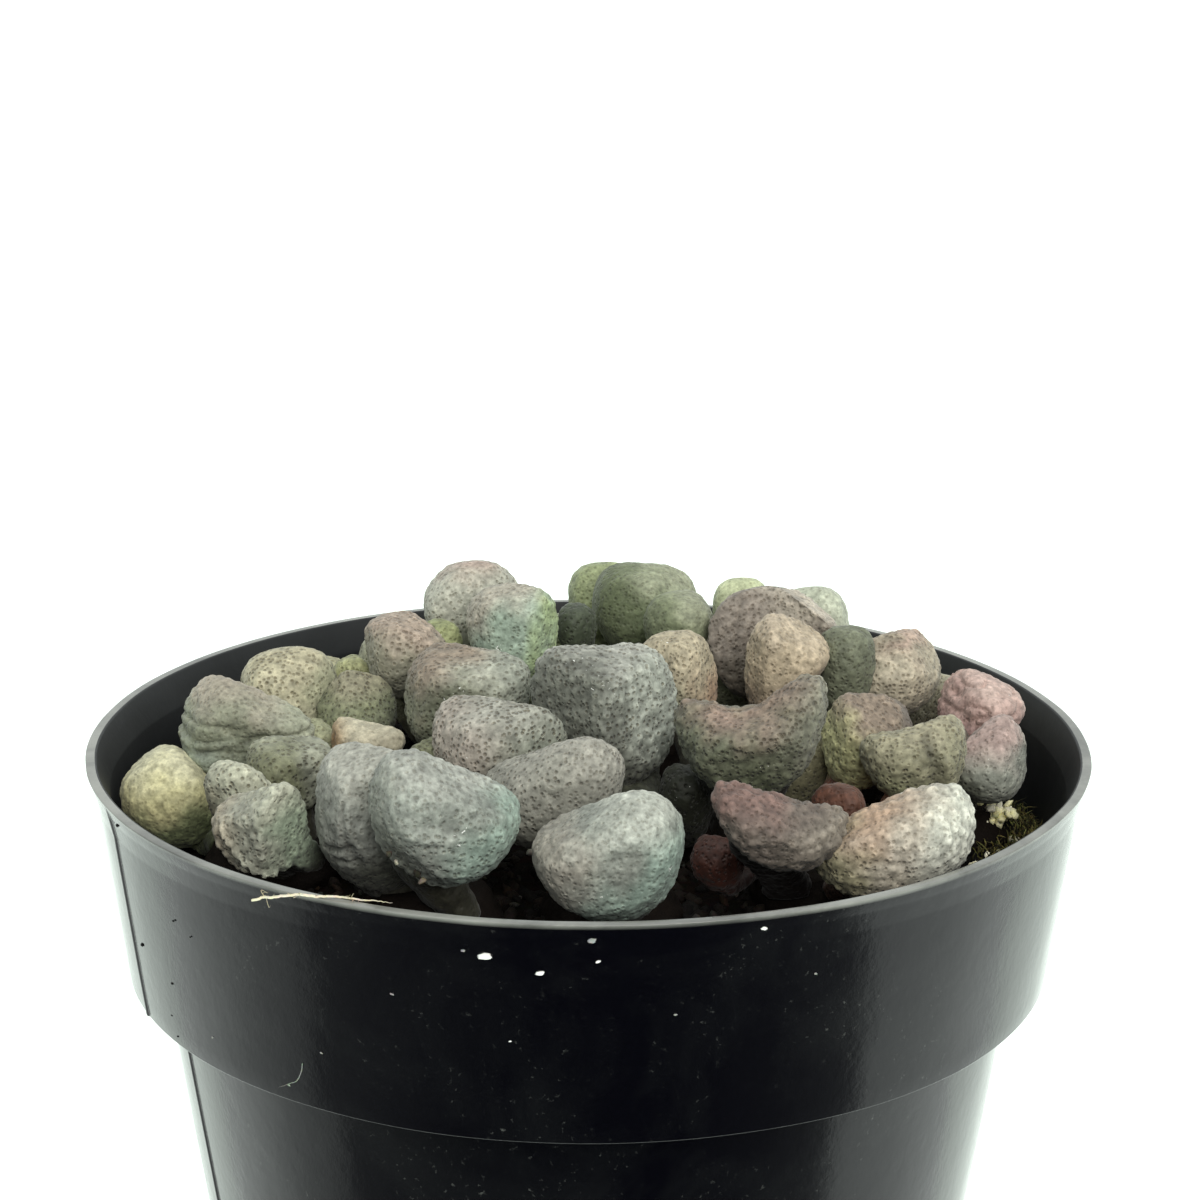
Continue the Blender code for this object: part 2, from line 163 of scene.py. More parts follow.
def fan_faces(ring, pole, flip=False):
    """Triangles from each edge of a closed ring to a pole."""
    ring = np.asarray(ring)
    pairs = [np.roll(ring, -1), ring] if flip else [ring, np.roll(ring, -1)]
    return np.stack(pairs + [np.full(len(ring), pole)], axis=-1)


def rounded(corners, radius, steps=4):
    """A profile with each inner corner cut back by radius and rounded by a quadratic curve."""
    corners = np.asarray(corners, dtype=float)
    points = [corners[0]]
    for before, corner, after in zip(corners[:-2], corners[1:-1], corners[2:]):
        back, on = before - corner, after - corner
        start = corner + back * min(0.45, radius / np.linalg.norm(back))
        end = corner + on * min(0.45, radius / np.linalg.norm(on))
        for t in np.linspace(0, 1, steps + 1):
            points.append((1 - t) ** 2 * start + 2 * t * (1 - t) * corner + t * t * end)
    points.append(corners[-1])
    return np.array(points)


def filled(profile, step):
    """The profile with more points on its long runs, step apart."""
    parts = [profile[:1]]
    for a, b in zip(profile[:-1], profile[1:]):
        count = max(1, int(np.ceil(np.linalg.norm(b - a) / step)))
        parts.append(a + np.linspace(0, 1, count + 1)[1:, None] * (b - a))
    return np.concatenate(parts)


def turned_points(profile, ways):
    """A profile of (radius, height) carried round the axis to each way, in radians."""
    radius, height = profile[:, :1], profile[:, 1:]
    return np.stack([radius * np.cos(ways), radius * np.sin(ways), height + 0 * ways], axis=-1)


def body_radius(height):
    return BODY_FOOT + (BODY_TOP - BODY_FOOT) * height / (POT_HEIGHT - COLLAR_DEPTH)


shelf = POT_HEIGHT - COLLAR_DEPTH
flare_foot = POT_HEIGHT - RIM_FLARE
wall_profile = filled(rounded([
    (2.0, POT_FLOOR),
    (body_radius(POT_FLOOR) - POT_WALL, POT_FLOOR),
    (BODY_TOP - POT_WALL, shelf + POT_WALL - 0.3),
    (COLLAR_FOOT - POT_WALL, shelf + POT_WALL),
    (COLLAR_TOP - POT_WALL - 0.1, flare_foot),
    (LIP_RADIUS - RIM_WALL, POT_HEIGHT),
    (LIP_RADIUS, POT_HEIGHT),
    (COLLAR_TOP + 0.3, POT_HEIGHT - 0.45 * RIM_FLARE),
    (COLLAR_TOP - 0.1, flare_foot),
    (COLLAR_FOOT, shelf),
    (BODY_TOP, shelf),
    (BODY_FOOT, 0.0),
    (2.0, 0.0),
], 0.15), 1.6)
near_seams = np.radians(np.add.outer(SEAM_WAYS, np.linspace(-1.2, 1.2, 17)).ravel())
pot_ways = np.unique(np.concatenate([np.linspace(0, math.tau, 320, endpoint=False), near_seams]))
pot_points = turned_points(wall_profile, pot_ways)

# A moulded wall is never quite true: it waves by a tenth of a millimetre, which bends reflections.
outward = np.stack([np.cos(pot_ways), np.sin(pot_ways), 0 * pot_ways], axis=-1)
slack = np.clip((wall_profile[:, 1] / POT_HEIGHT), 0, 1)[:, None, None]
pot_points += outward * slack * (0.10 * lattice_noise(pot_points * [1, 1, 0.6], 13.0, 1)
                                 + 0.03 * lattice_noise(pot_points, 4.0, 2))[..., None]
outer = np.arange(len(wall_profile)) > np.argmax(wall_profile[:, 1])
on_collar = outer & (wall_profile[:, 1] < POT_HEIGHT - 1.0) & (wall_profile[:, 1] > 0.5)
for seam in np.radians(SEAM_WAYS):
    off = np.abs((pot_ways - seam + math.pi) % math.tau - math.pi) * COLLAR_TOP
    ridge = SEAM_RISE * np.exp(-(off / SEAM_WIDTH) ** 4)
    pot_points += on_collar[:, None, None] * ridge[None, :, None] * outward
rows, columns = pot_points.shape[:2]
poles = [(0, 0, POT_FLOOR), (0, 0, 0)]
pot_faces = (ring_faces(rows, columns)[:, ::-1].tolist()
             + fan_faces(np.arange(columns), rows * columns).tolist()
             + fan_faces((rows - 1) * columns + np.arange(columns), rows * columns + 1, True).tolist())

# Polypropylene: satin black that mirrors a pale room at a slant. Dust, dried water marks and finger
# rubs make it paler and duller in patches, most round its rim and under the collar. The pale band on
# the rim's top is rubbed wear and in part a painted highlight, the bright line of light along its edge.
pot_plastic, shader, place = new_material("black_polypropylene_moulded", 0.17, 1.49)
smears = add_node(pot_plastic, "ShaderNodeTexNoise",
                  {"Vector": place, "Scale": 75.0, "Detail": 6.0, "Roughness": 0.62, "Distortion": 0.6})
smear = add_node(pot_plastic, "ShaderNodeMapRange",
                 {"Value": smears.outputs["Fac"], "From Min": 0.45, "From Max": 0.78}).outputs["Result"]
dusts = add_node(pot_plastic, "ShaderNodeTexNoise",
                 {"Vector": place, "Scale": 1900.0, "Detail": 3.0, "Roughness": 0.7})
dust = add_node(pot_plastic, "ShaderNodeMapRange",
                {"Value": dusts.outputs["Fac"], "From Min": 0.63, "From Max": 0.80}).outputs["Result"]
dust_in_smear = add_node(pot_plastic, "ShaderNodeMath", {0: dust, 1: smear}, operation="MULTIPLY").outputs[0]
colour = mix_colour(pot_plastic, smear, linear("#050509"), linear("#101113"))
colour = mix_colour(pot_plastic, dust_in_smear, colour, linear("#6d6f6b"))
height = add_node(pot_plastic, "ShaderNodeSeparateXYZ", {"Vector": place}).outputs["Z"]
# Painted highlight: the rim's top half millimetre is painted pale grey, as rubbed wear and as the bright line of
# light along the rim's edge.
rim_wear_and_highlight = add_node(pot_plastic, "ShaderNodeMapRange",
                {"Value": height, "From Min": 0.07955, "From Max": 0.0800}).outputs["Result"]
patch = add_node(pot_plastic, "ShaderNodeMapRange",
                 {"Value": smears.outputs["Fac"], "From Min": 0.30, "From Max": 0.62,
                  "To Min": 0.25, "To Max": 1.0}).outputs["Result"]
rim_wear_and_highlight = add_node(pot_plastic, "ShaderNodeMath", {0: rim_wear_and_highlight, 1: patch}, operation="MULTIPLY").outputs[0]
colour = mix_colour(pot_plastic, rim_wear_and_highlight, colour, linear("#8f908a"))
wire(pot_plastic, colour, shader, "Base Color")
roughness = add_node(pot_plastic, "ShaderNodeMapRange",
                     {"Value": smears.outputs["Fac"], "From Min": 0.35, "From Max": 0.8,
                      "To Min": 0.06, "To Max": 0.20}).outputs["Result"]
wire(pot_plastic, roughness, shader, "Roughness")
orange_peel = add_node(pot_plastic, "ShaderNodeTexNoise",
                       {"Vector": place, "Scale": 460.0, "Detail": 6.0, "Roughness": 0.7})
bump = add_node(pot_plastic, "ShaderNodeBump",
                {"Height": orange_peel.outputs["Fac"], "Strength": 0.5, "Distance": 0.00008})
wire(pot_plastic, bump.outputs["Normal"], shader, "Normal")

# Its inside is duller: a chalky film of dried water dulls the black to a dark grey.
pot_inside, shader, place = new_material("black_polypropylene_chalky", 0.50, 1.49, Specular_IOR_Level=0.30)
film = add_node(pot_inside, "ShaderNodeTexNoise",
                {"Vector": place, "Scale": 140.0, "Detail": 6.0, "Roughness": 0.65, "Distortion": 0.4})
colour = mix_colour(pot_inside, film.outputs["Fac"], linear("#0f1012"), linear("#2b2d2f"))
wire(pot_inside, colour, shader, "Base Color")
bump = add_node(pot_inside, "ShaderNodeBump", {"Height": film.outputs["Fac"], "Strength": 0.4, "Distance": 0.0002})
wire(pot_inside, bump.outputs["Normal"], shader, "Normal")

pot = add_piece("nursery_pot", np.concatenate([pot_points.reshape(-1, 3), poles]), pot_faces,
                pot_plastic, pot_inside)
inside_rows = np.arange(rows - 1) < np.argmax(wall_profile[:, 1])
pot.data.polygons.foreach_set("material_index", np.concatenate([
    inside_rows.repeat(columns), np.ones(columns), np.zeros(columns)]).astype(np.int32))
drill_ring = np.linspace(0, math.tau, 48, endpoint=False)
for i in range(DRAIN_COUNT):
    way = math.tau * (i + 0.5) / DRAIN_COUNT
    drill = turned_points(np.array([(DRAIN_RADIUS, -1.0), (DRAIN_RADIUS, POT_FLOOR + 1)]), drill_ring)
    drill = np.concatenate([drill.reshape(-1, 3), [(0, 0, -1.0), (0, 0, POT_FLOOR + 1)]])
    drill += [DRAIN_CIRCLE * math.cos(way), DRAIN_CIRCLE * math.sin(way), 0]
    faces = (ring_faces(2, 48).tolist() + fan_faces(np.arange(48), 96, True).tolist()
             + fan_faces(48 + np.arange(48), 97).tolist())
    drill_mesh = bpy.data.meshes.new("drill")
    drill_mesh.from_pydata(drill * 0.001, [], faces)
    cutter = bpy.data.objects.new("drill", drill_mesh)
    bpy.context.scene.collection.objects.link(cutter)
    hole = pot.modifiers.new("Drain", "BOOLEAN")
    hole.operation = "DIFFERENCE"
    hole.object = cutter
    drilled = bpy.data.meshes.new_from_object(pot.evaluated_get(bpy.context.evaluated_depsgraph_get()))
    pot.modifiers.clear()
    pot.data = drilled
    bpy.data.objects.remove(cutter)
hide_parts("pot")

# Soil: damp dark peat with grit in it, painted near black as shade between the leaves. Its top is
# crumbly, sinks a little at the wall, and lies 10 mm under the rim; its foot shows through the drain holes.
SOIL_TOP = POT_HEIGHT - 10.0
SOIL_EDGE_DROP = 0.6
SOIL_GAP = 0.3
soil_low, soil_high = (np.array(corner) * 1000 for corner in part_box("soil"))
soil_radius = soil_high[0] - 0.15


def soil_height(points):
    """The soil's top: a shallow dome that drops at the wall, with crumbs and hollows from noise."""
    off = np.linalg.norm(points[..., :2], axis=-1) / soil_radius
    flat = points * [1, 1, 0]
    crumbs = 0.30 * lattice_noise(flat, 2.6, 11) + 0.18 * lattice_noise(flat, 1.1, 12)
    return SOIL_TOP - SOIL_EDGE_DROP * off ** 6 + crumbs * (1 - 0.3 * off ** 8)


soil_ways = np.linspace(0, math.tau, 360, endpoint=False)
top_rings = np.linspace(0.4, soil_radius - 0.4, 90)
top = turned_points(np.stack([top_rings, np.full(90, SOIL_TOP)], axis=-1), soil_ways)
top[..., 2] = soil_height(top)
side = turned_points(np.array([
    (soil_radius, SOIL_TOP - 1.4),
    (COLLAR_FOOT - POT_WALL - SOIL_GAP, shelf + POT_WALL + SOIL_GAP),
    (BODY_TOP - POT_WALL - SOIL_GAP, shelf + POT_WALL),
    (body_radius(POT_FLOOR) - POT_WALL - SOIL_GAP, POT_FLOOR + SOIL_GAP),
]), soil_ways)
foot_rings = np.linspace(body_radius(POT_FLOOR) - POT_WALL - 1, 0.5, 24)
foot = turned_points(np.stack([foot_rings, np.full(24, POT_FLOOR + SOIL_GAP)], axis=-1), soil_ways)
foot[..., 2] += 0.25 * (1 + lattice_noise(foot, 1.6, 13))
soil_points = np.concatenate([top, side, foot])
rows, columns = soil_points.shape[:2]
poles = [(0, 0, soil_height(np.zeros(3))), (0, 0, POT_FLOOR + SOIL_GAP + 0.2)]
soil_faces = (ring_faces(rows, columns)[:, ::-1].tolist()
              + fan_faces(np.arange(columns), rows * columns).tolist()
              + fan_faces((rows - 1) * columns + np.arange(columns), rows * columns + 1, True).tolist())

# Peat: dark brown and matt, with paler fibres and dust; its crumbs are about half a millimetre. Its
# colour is deepened to near black, below damp peat's own dark brown, as painted shade between the leaves.
peat, shader, place = new_material("sphagnum_peat_damp_and_shaded", 0.92, 1.4, Specular_IOR_Level=0.12)
clods = add_node(peat, "ShaderNodeTexNoise", {"Vector": place, "Scale": 520.0, "Detail": 7.0, "Roughness": 0.7})
grain = add_node(peat, "ShaderNodeTexVoronoi", {"Vector": place, "Scale": 1700.0})
colour = mix_colour(peat, clods.outputs["Fac"], linear("#070504"), linear("#1b1510"))
colour = mix_colour(peat, 0.35, colour, grain.outputs["Color"], "SOFT_LIGHT")
wire(peat, colour, shader, "Base Color")
bump = add_node(peat, "ShaderNodeBump", {"Height": clods.outputs["Fac"], "Strength": 0.9, "Distance": 0.0005})
wire(peat, bump.outputs["Normal"], shader, "Normal")
soil = add_piece("peat_soil", np.concatenate([soil_points.reshape(-1, 3), poles]), soil_faces, peat)
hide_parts("soil")

# Loose bits on the soil: crumbs of peat, grey grit, flakes of bark and puffed white perlite. Each is
# an irregular lump of a few dozen faces, pressed a little into the soil, and its colour is its own, but for
# the peat crumbs and loose perlite grains, which are painted darker than their own colour as shade.
def lump_shape(detail):
    """Points and triangles of a ball made from an icosahedron."""
    ball = bmesh.new()
    bmesh.ops.create_icosphere(ball, subdivisions=detail, radius=1.0)
    points = np.array([v.co[:] for v in ball.verts])
    faces = np.array([[v.index for v in f.verts] for f in ball.faces])
    ball.free()
    return points, faces


def scatter(name, centres, sizes, stretch, colours, detail, material, seed, frames=None):
    """Lumps at the centres: each is a ball pushed in and out at random, stretched and turned.

    frames holds three columns for each lump, its long, middle and thin ways; without them it is random.
    """
    rng = np.random.default_rng(seed)
    ball, faces = lump_shape(detail)
    count = len(centres)
    dents = 1 + rng.uniform(-0.28, 0.28, (count, len(ball)))
    axes = rng.normal(size=(count, 3, 3))
    turns = np.linalg.qr(axes)[0] if frames is None else frames
    long = np.stack([rng.uniform(*stretch, count), np.ones(count), rng.uniform(0.5, 0.9, count)], axis=-1)
    lumps = np.einsum("cij,cpj->cpi", turns, ball[None] * dents[..., None] * long[:, None])
    points = centres[:, None] + lumps * sizes[:, None, None]
    every = (faces[None] + (np.arange(count) * len(ball))[:, None, None]).reshape(-1, 3)
    mirrored = np.linalg.det(turns) < 0
    every = np.where(np.repeat(mirrored, len(faces))[:, None], every[:, ::-1], every)
    piece = add_piece(name, points.reshape(-1, 3), every.tolist(), material)
    paint(piece, "tint", np.repeat(colours, len(ball), axis=0))
    return piece


def strewn(count, seed, inside=0.97):
    """Random places all over the soil's top."""
    rng = np.random.default_rng(seed)
    radius = soil_radius * inside * np.sqrt(rng.uniform(0, 1, count))
    way = rng.uniform(0, math.tau, count)
    places = np.stack([radius * np.cos(way), radius * np.sin(way), np.zeros(count)], axis=-1)
    places[:, 2] = soil_height(places)
    return places, rng


def dyes(rng, count, *codes):
    """A colour for each lump: a random mix of two of the given colours, a little paler or darker."""
    codes = np.array([linear(code) for code in codes])
    share = rng.uniform(0, 1, (count, 1))
    first, second = (codes[rng.integers(0, len(codes), count)] for _ in range(2))
    return (first * share + second * (1 - share)) * rng.uniform(0.75, 1.25, (count, 1))


# Grit and crumbs: matt mineral and peat surfaces, coloured by the piece's own attribute.
crumb_skin, shader, place = new_material("grit_and_bark_crumbs", 0.85, 1.5, Specular_IOR_Level=0.20)
tint = add_node(crumb_skin, "ShaderNodeAttribute", attribute_name="tint")
grain = add_node(crumb_skin, "ShaderNodeTexNoise", {"Vector": place, "Scale": 2600.0, "Detail": 4.0})
colour = mix_colour(crumb_skin, 0.6, tint.outputs["Color"], grain.outputs["Color"], "SOFT_LIGHT")
wire(crumb_skin, colour, shader, "Base Color")
bump = add_node(crumb_skin, "ShaderNodeBump",
                {"Height": grain.outputs["Fac"], "Strength": 0.7, "Distance": 0.00015})
wire(crumb_skin, bump.outputs["Normal"], shader, "Normal")

# Painted shade: the peat crumbs are deepened to near black like the peat, as the shade between the leaves.
places, rng = strewn(2300, 21)
scatter("peat_crumbs", places, rng.uniform(0.25, 0.95, 2300), (1.0, 1.6),
        dyes(rng, 2300, "#0d0a08", "#17120e", "#211a14", "#0b0907"), 1, crumb_skin, 22)
places, rng = strewn(260, 23)
scatter("grit", places + [0, 0, 0.15], rng.uniform(0.2, 0.55, 260), (1.0, 1.5),
        dyes(rng, 260, "#3c3a35", "#4c4841", "#2b2926", "#57514a"), 1, crumb_skin, 24)
places, rng = strewn(150, 25)
scatter("bark_flakes", places + [0, 0, 0.2], rng.uniform(0.3, 0.55, 150), (1.6, 2.6),
        dyes(rng, 150, "#2b1f17", "#37291e", "#1f1711"), 1, crumb_skin, 26)

# Perlite is nearly white and open-pored. One yellowed clump of tiny beads lies by the right wall.
# The loose grains are painted grey, below their own near white, as painted shade on the soil.
PERLITE_COUNT = 44
CLUMP_COUNT = 34
CLUMP_PLACE = np.array([37.1, -1.2, 73.2])
places, rng = strewn(PERLITE_COUNT, 27)
clump = CLUMP_PLACE + rng.normal(0, 1, (CLUMP_COUNT, 3)) * [0.85, 0.6, 0.55]
strays = np.array([(35.8, -5.6, 70.6), (36.9, -4.8, 70.7), (34.4, -7.4, 70.5), (38.6, -2.0, 70.9)])
places = np.concatenate([places + [0, 0, 0.25], clump, strays])
count = len(places)
sizes = np.concatenate([rng.uniform(0.15, 0.45, PERLITE_COUNT), rng.uniform(0.28, 0.52, CLUMP_COUNT),
                        rng.uniform(0.35, 0.6, len(strays))])
# Painted shade: the loose grains get grey tones; the clump's beads keep their own yellowed white.
white = dyes(rng, count, "#a9a699", "#b8b6aa", "#8f8a74")
white[PERLITE_COUNT:] = dyes(rng, count - PERLITE_COUNT, "#fbf6c8", "#efe9b0", "#fffbe2")
scatter("perlite", places, sizes, (1.0, 1.2), white, 2, crumb_skin, 28)


def unit(vectors):
    return vectors / np.linalg.norm(vectors, axis=-1, keepdims=True)


def threads(name, paths, radii, colours, material):
    """Fine tapered threads: five-sided tubes along the paths, which are arrays of points."""
    along = unit(np.gradient(paths, axis=1))
    side = unit(np.cross(along, [0.31, 0.52, 0.79]))
    other = np.cross(along, side)
    ways = np.linspace(0, math.tau, 5, endpoint=False)
    taper = np.clip(1.1 - np.linspace(0, 1, paths.shape[1]) ** 3, 0.1, 1)[None, :, None, None]
    spoke = np.cos(ways)[:, None] * side[:, :, None] + np.sin(ways)[:, None] * other[:, :, None]
    points = (paths[:, :, None] + radii[:, None, None, None] * taper * spoke).reshape(-1, 3)
    count, steps = paths.shape[:2]
    faces = []
    for i in range(count):
        start = i * steps * 5
        faces += ring_faces(steps, 5, start).tolist()
        faces += [[start + 4, start + 3, start + 2, start + 1, start]]
        faces += [[start + (steps - 1) * 5 + k for k in range(5)]]
    piece = add_piece(name, points, faces, material)
    paint(piece, "tint", np.repeat(colours, steps * 5, axis=0))
    return piece


# Moss: a low tuft between the right head and the wall, olive brown with yellow-green tips.
MOSS_TUFTS = np.array([(39.4, -1.0, 71.0), (39.2, -4.6, 70.2), (40.4, 4.2, 70.2), (36.6, -5.0, 70.4)])
MOSS_COUNT = 520
rng = np.random.default_rng(29)
roots = MOSS_TUFTS[rng.integers(0, 4, MOSS_COUNT)] + rng.normal(0, 1, (MOSS_COUNT, 3)) * [1.0, 1.5, 0.15]
roots[:, :2] *= np.clip(40.9 / np.linalg.norm(roots[:, :2], axis=1), 0, 1)[:, None]
lean = rng.normal(0, 0.5, (MOSS_COUNT, 2))
steps = np.linspace(0, 1, 6)[None, :, None]
tips = np.concatenate([lean, rng.uniform(0.4, 1.3, (MOSS_COUNT, 1))], axis=1)[:, None]
curl = rng.normal(0, 0.35, (MOSS_COUNT, 1, 3))
paths = roots[:, None] + tips * steps + curl * np.sin(math.pi * steps)
paths[..., :2] *= np.clip(42.0 / np.linalg.norm(paths[..., :2], axis=-1), 0, 1)[..., None]
threads("moss", paths, rng.uniform(0.05, 0.10, MOSS_COUNT),
        dyes(rng, MOSS_COUNT, "#2a2818", "#57542e", "#8a854f", "#1d1b13"), crumb_skin)

# Leaves: each is a fleshy club of one skin, its stalk rooted in a short woody stem. The form is the
# CAD leaf's own formula on a fine grid, and the skin gets its warts, lumps, keels and wrinkles from it.
STEM_RADIUS = 6.0
STEM_RISE = 3.6
STEM_DEPTH = 8.0
FOOT_RISE = 2.4
FOOT_SHARE = 0.40
NECK_UPRIGHT = 0.70
NECK_LOSS = 0.40
STALK_LIFT = 0.6
FOOT_PULL = 0.40
NECK_PULL = 0.35
WIDEST = 0.5
SWELL_QUICK = 0.6
SWELL_POWER = 2.2
DOME_POWER = 2.6
SIDE_POWER = 0.85
FACE_POWER = 0.9
OUTER_SHARE = 1.1
INNER_SHARE = 0.8
BEND_LINE = 0.35
NECK_EASE = 0.7
NECK_WAIST = 0.13
WART_SPACING = 0.80
WART_RISE = 0.14
LUMP_RISE = 0.16
FACET_EDGE = 0.9
FINE_CELL = 0.22
COARSE_CELL = 0.34
RIGHT, LEFT, UP, DOWN, FRONT, BACK = np.array([
    (1, 0, 0), (-1, 0, 0), (0, 0, 1), (0, 0, -1), (0, -1, 0), (0, 1, 0)], dtype=float)


def signed_power(values, power):
    return np.sign(values) * np.abs(values) ** power


def smooth_step(values, low, high):
    share = np.clip((values - low) / (high - low), 0, 1)
    return share * share * (3 - 2 * share)


def bead_distance(points, spacing, seed):
    """Distance to the nearest bead, in spacings: one bead stands at random in each lattice cell."""
    table = np.random.default_rng(seed).uniform(0.12, 0.88, (32, 32, 32, 3))
    place = points / spacing
    cell = np.floor(place).astype(int)
    nearest = np.full(points.shape[:-1], 9.0)
    for step in np.ndindex(3, 3, 3):
        beside = cell + np.array(step) - 1
        i, j, k = np.moveaxis(beside % 32, -1, 0)
        nearest = np.minimum(nearest, ((beside + table[i, j, k] - place) ** 2).sum(axis=-1))
    return np.sqrt(nearest)


def club(form, cell):
    """One leaf's even grid: places, and for each ring its run q up the head (below 0 on the stalk).

    The stalk is a cubic S-curve from foot to neck and the head goes on straight. The section is a
    rounded oblong bent to a kidney. Its size swells by a quick and a slow ease and closes as a
    superellipse; rings are spaced by the surface's own length, so that cells stay square.
    """
    x, y, z, facing, lean, roll, width, length, thickness, curl, foot_x, foot_y = form
    way, tip_over, twist = np.radians([facing, lean, roll])
    ahead = np.array([np.cos(way), np.sin(way), 0.0])
    level = np.array([-np.sin(way), np.cos(way), 0.0])
    straight = np.cos(tip_over) * UP + np.sin(tip_over) * ahead
    length_way = np.cos(twist) * straight - np.sin(twist) * level
    across = np.cos(twist) * level + np.sin(twist) * straight
    middle = np.array([x, y, z + SOIL_TOP])
    foot = np.array([foot_x, foot_y, SOIL_TOP + FOOT_RISE])
    neck, tip = middle - 0.5 * length * length_way, middle + 0.5 * length * length_way

    reach = np.linalg.norm(neck - foot)
    start = unit(neck - foot + STALK_LIFT * reach * UP)
    pull_1, pull_2 = foot + FOOT_PULL * reach * start, neck - NECK_PULL * reach * length_way
    s = np.linspace(0, 1, 90, endpoint=False)
    t = s[:, None]
    stalk = (1 - t) ** 3 * foot + 3 * (1 - t) ** 2 * t * pull_1 + 3 * (1 - t) * t ** 2 * pull_2 + t ** 3 * neck
    over = np.linspace(0, math.pi / 2, 121)[1:]
    q = np.concatenate([np.linspace(0, WIDEST, 60),
                        WIDEST + (1 - WIDEST) * np.sin(over) ** (2 / DOME_POWER)])
    line = np.concatenate([stalk, neck + q[:, None] * (tip - neck)])
    turn = np.concatenate([s, np.ones(len(q))])
    run = np.concatenate([(s - 1) * reach / length, q])
    rise = np.clip(run / WIDEST, 0, 1)
    quick = (1 - (1 - rise) ** SWELL_POWER) ** (1 / SWELL_POWER)
    swell = SWELL_QUICK * quick + (1 - SWELL_QUICK) * rise ** 2 * (3 - 2 * rise)
    closed = np.clip((run - WIDEST) / (1 - WIDEST), 0, 1)
    dome = np.clip(1 - closed ** DOME_POWER, 0, 1) ** (1 / DOME_POWER)
    neck_share = NECK_UPRIGHT - NECK_LOSS * np.sin(tip_over)
    stalk_share = FOOT_SHARE + (neck_share - FOOT_SHARE) * turn
    share = (stalk_share + (1 - stalk_share) * swell) * dome

    girth = 0.25 * (width + thickness)
    steps = np.hypot(np.linalg.norm(np.diff(line, axis=0), axis=1), girth * np.diff(share))
    far = np.concatenate([[0], np.cumsum(steps)])
    even = np.linspace(0, far[-1], int(far[-1] / cell) + 2)[:-1]
    line = np.stack([np.interp(even, far, line[:, i]) for i in range(3)], axis=-1)
    turn, run, share, bend = (np.interp(even, far, values) for values in (turn, run, share, swell * dome))
    kernel = np.exp(-np.square(np.arange(-12, 13) * cell / NECK_EASE))
    eased = np.convolve(np.pad(share, 12, mode="edge"), kernel / kernel.sum(), mode="valid")
    share = share + (eased - share) * (1 - smooth_step(run, 0.30, 0.50))
    share = share * (1 - NECK_WAIST * (1 - smooth_step(run, -0.12, 0.16)))

    along = unit(np.gradient(line, axis=0))
    along[run >= 0] = length_way
    wide = (1 - turn[:, None]) * level + turn[:, None] * across
    wide = unit(wide - (wide * along).sum(axis=1, keepdims=True) * along)
    deep = np.cross(wide, along)
    around = np.linspace(0, math.tau, int(math.tau * girth * 1.05 / cell), endpoint=False)
    side = signed_power(np.cos(around), SIDE_POWER)
    face = signed_power(np.sin(around), FACE_POWER)
    depth = face * np.where(face > 0, OUTER_SHARE, INNER_SHARE)
    out = 0.5 * thickness * share[:, None] * depth + curl * bend[:, None] * (BEND_LINE - side ** 2)
    half_width = 0.5 * width * share[:, None] * side
    points = line[:, None] + half_width[..., None] * wide[:, None] + out[..., None] * deep[:, None]
    end = tip + BEND_LINE * curl * bend[-1] * deep[-1]
    return points, end, run, half_width, face, middle


def outward_ways(points):
    """Each grid point's way out of the surface: the cross product of its two grid directions."""
    around = np.roll(points, -1, axis=1) - np.roll(points, 1, axis=1)
    return unit(np.cross(np.gradient(points, axis=0), around))


def glint_share(glints, half_width, run, face, length):
    """How far each place lies in a patch of painted highlights, sparks of light: a soft round spot on the leaf's
    outer face.
    """
    total = np.zeros_like(half_width)
    widest = np.abs(half_width).max()
    for side, at, size in glints:
        gap = np.hypot(half_width - side * widest, (run[:, None] - at) * length)
        total = np.maximum(total, np.exp(-(gap / size) ** 2))
    return total * (face > -0.3)[None]


def mark_height(marks, half_width, run, face, length):
    """Keels and creases on the leaf's outer face: a bump or groove along a line from end to end.

    A mark is (side, run, side, run, breadth, rise): two ends, as shares of the leaf's half width and
    of its length, and a breadth and rise in mm, which is negative for a groove.
    """
    total = np.zeros_like(half_width)
    widest = np.abs(half_width).max()
    up = run[:, None] * length + 0 * half_width
    for x0, q0, x1, q1, breadth, rise in marks:
        a, b = np.array([x0 * widest, q0 * length]), np.array([x1 * widest, q1 * length])
        over_x, over_y = half_width - a[0], up - a[1]
        share = np.clip((over_x * (b - a)[0] + over_y * (b - a)[1]) / ((b - a) ** 2).sum(), 0, 1)
        gap = np.hypot(over_x - share * (b - a)[0], over_y - share * (b - a)[1])
        total += rise * np.exp(-(gap / breadth) ** 2)
    return total * np.clip(face + 0.15, 0, 1)[None] ** 0.5


def soft_excess(values):
    """The part of each value above zero, with the corner at zero eased over FACET_EDGE mm."""
    return 0.5 * (values + np.sqrt(values ** 2 + FACET_EDGE ** 2))


def zone_weight(offset, way, threshold, noise):
    """How far a place lies in a zone: its offset from the leaf's middle along the way, eased."""
    return smooth_step(offset @ way + 0.30 * noise, threshold - 0.34, threshold + 0.34)


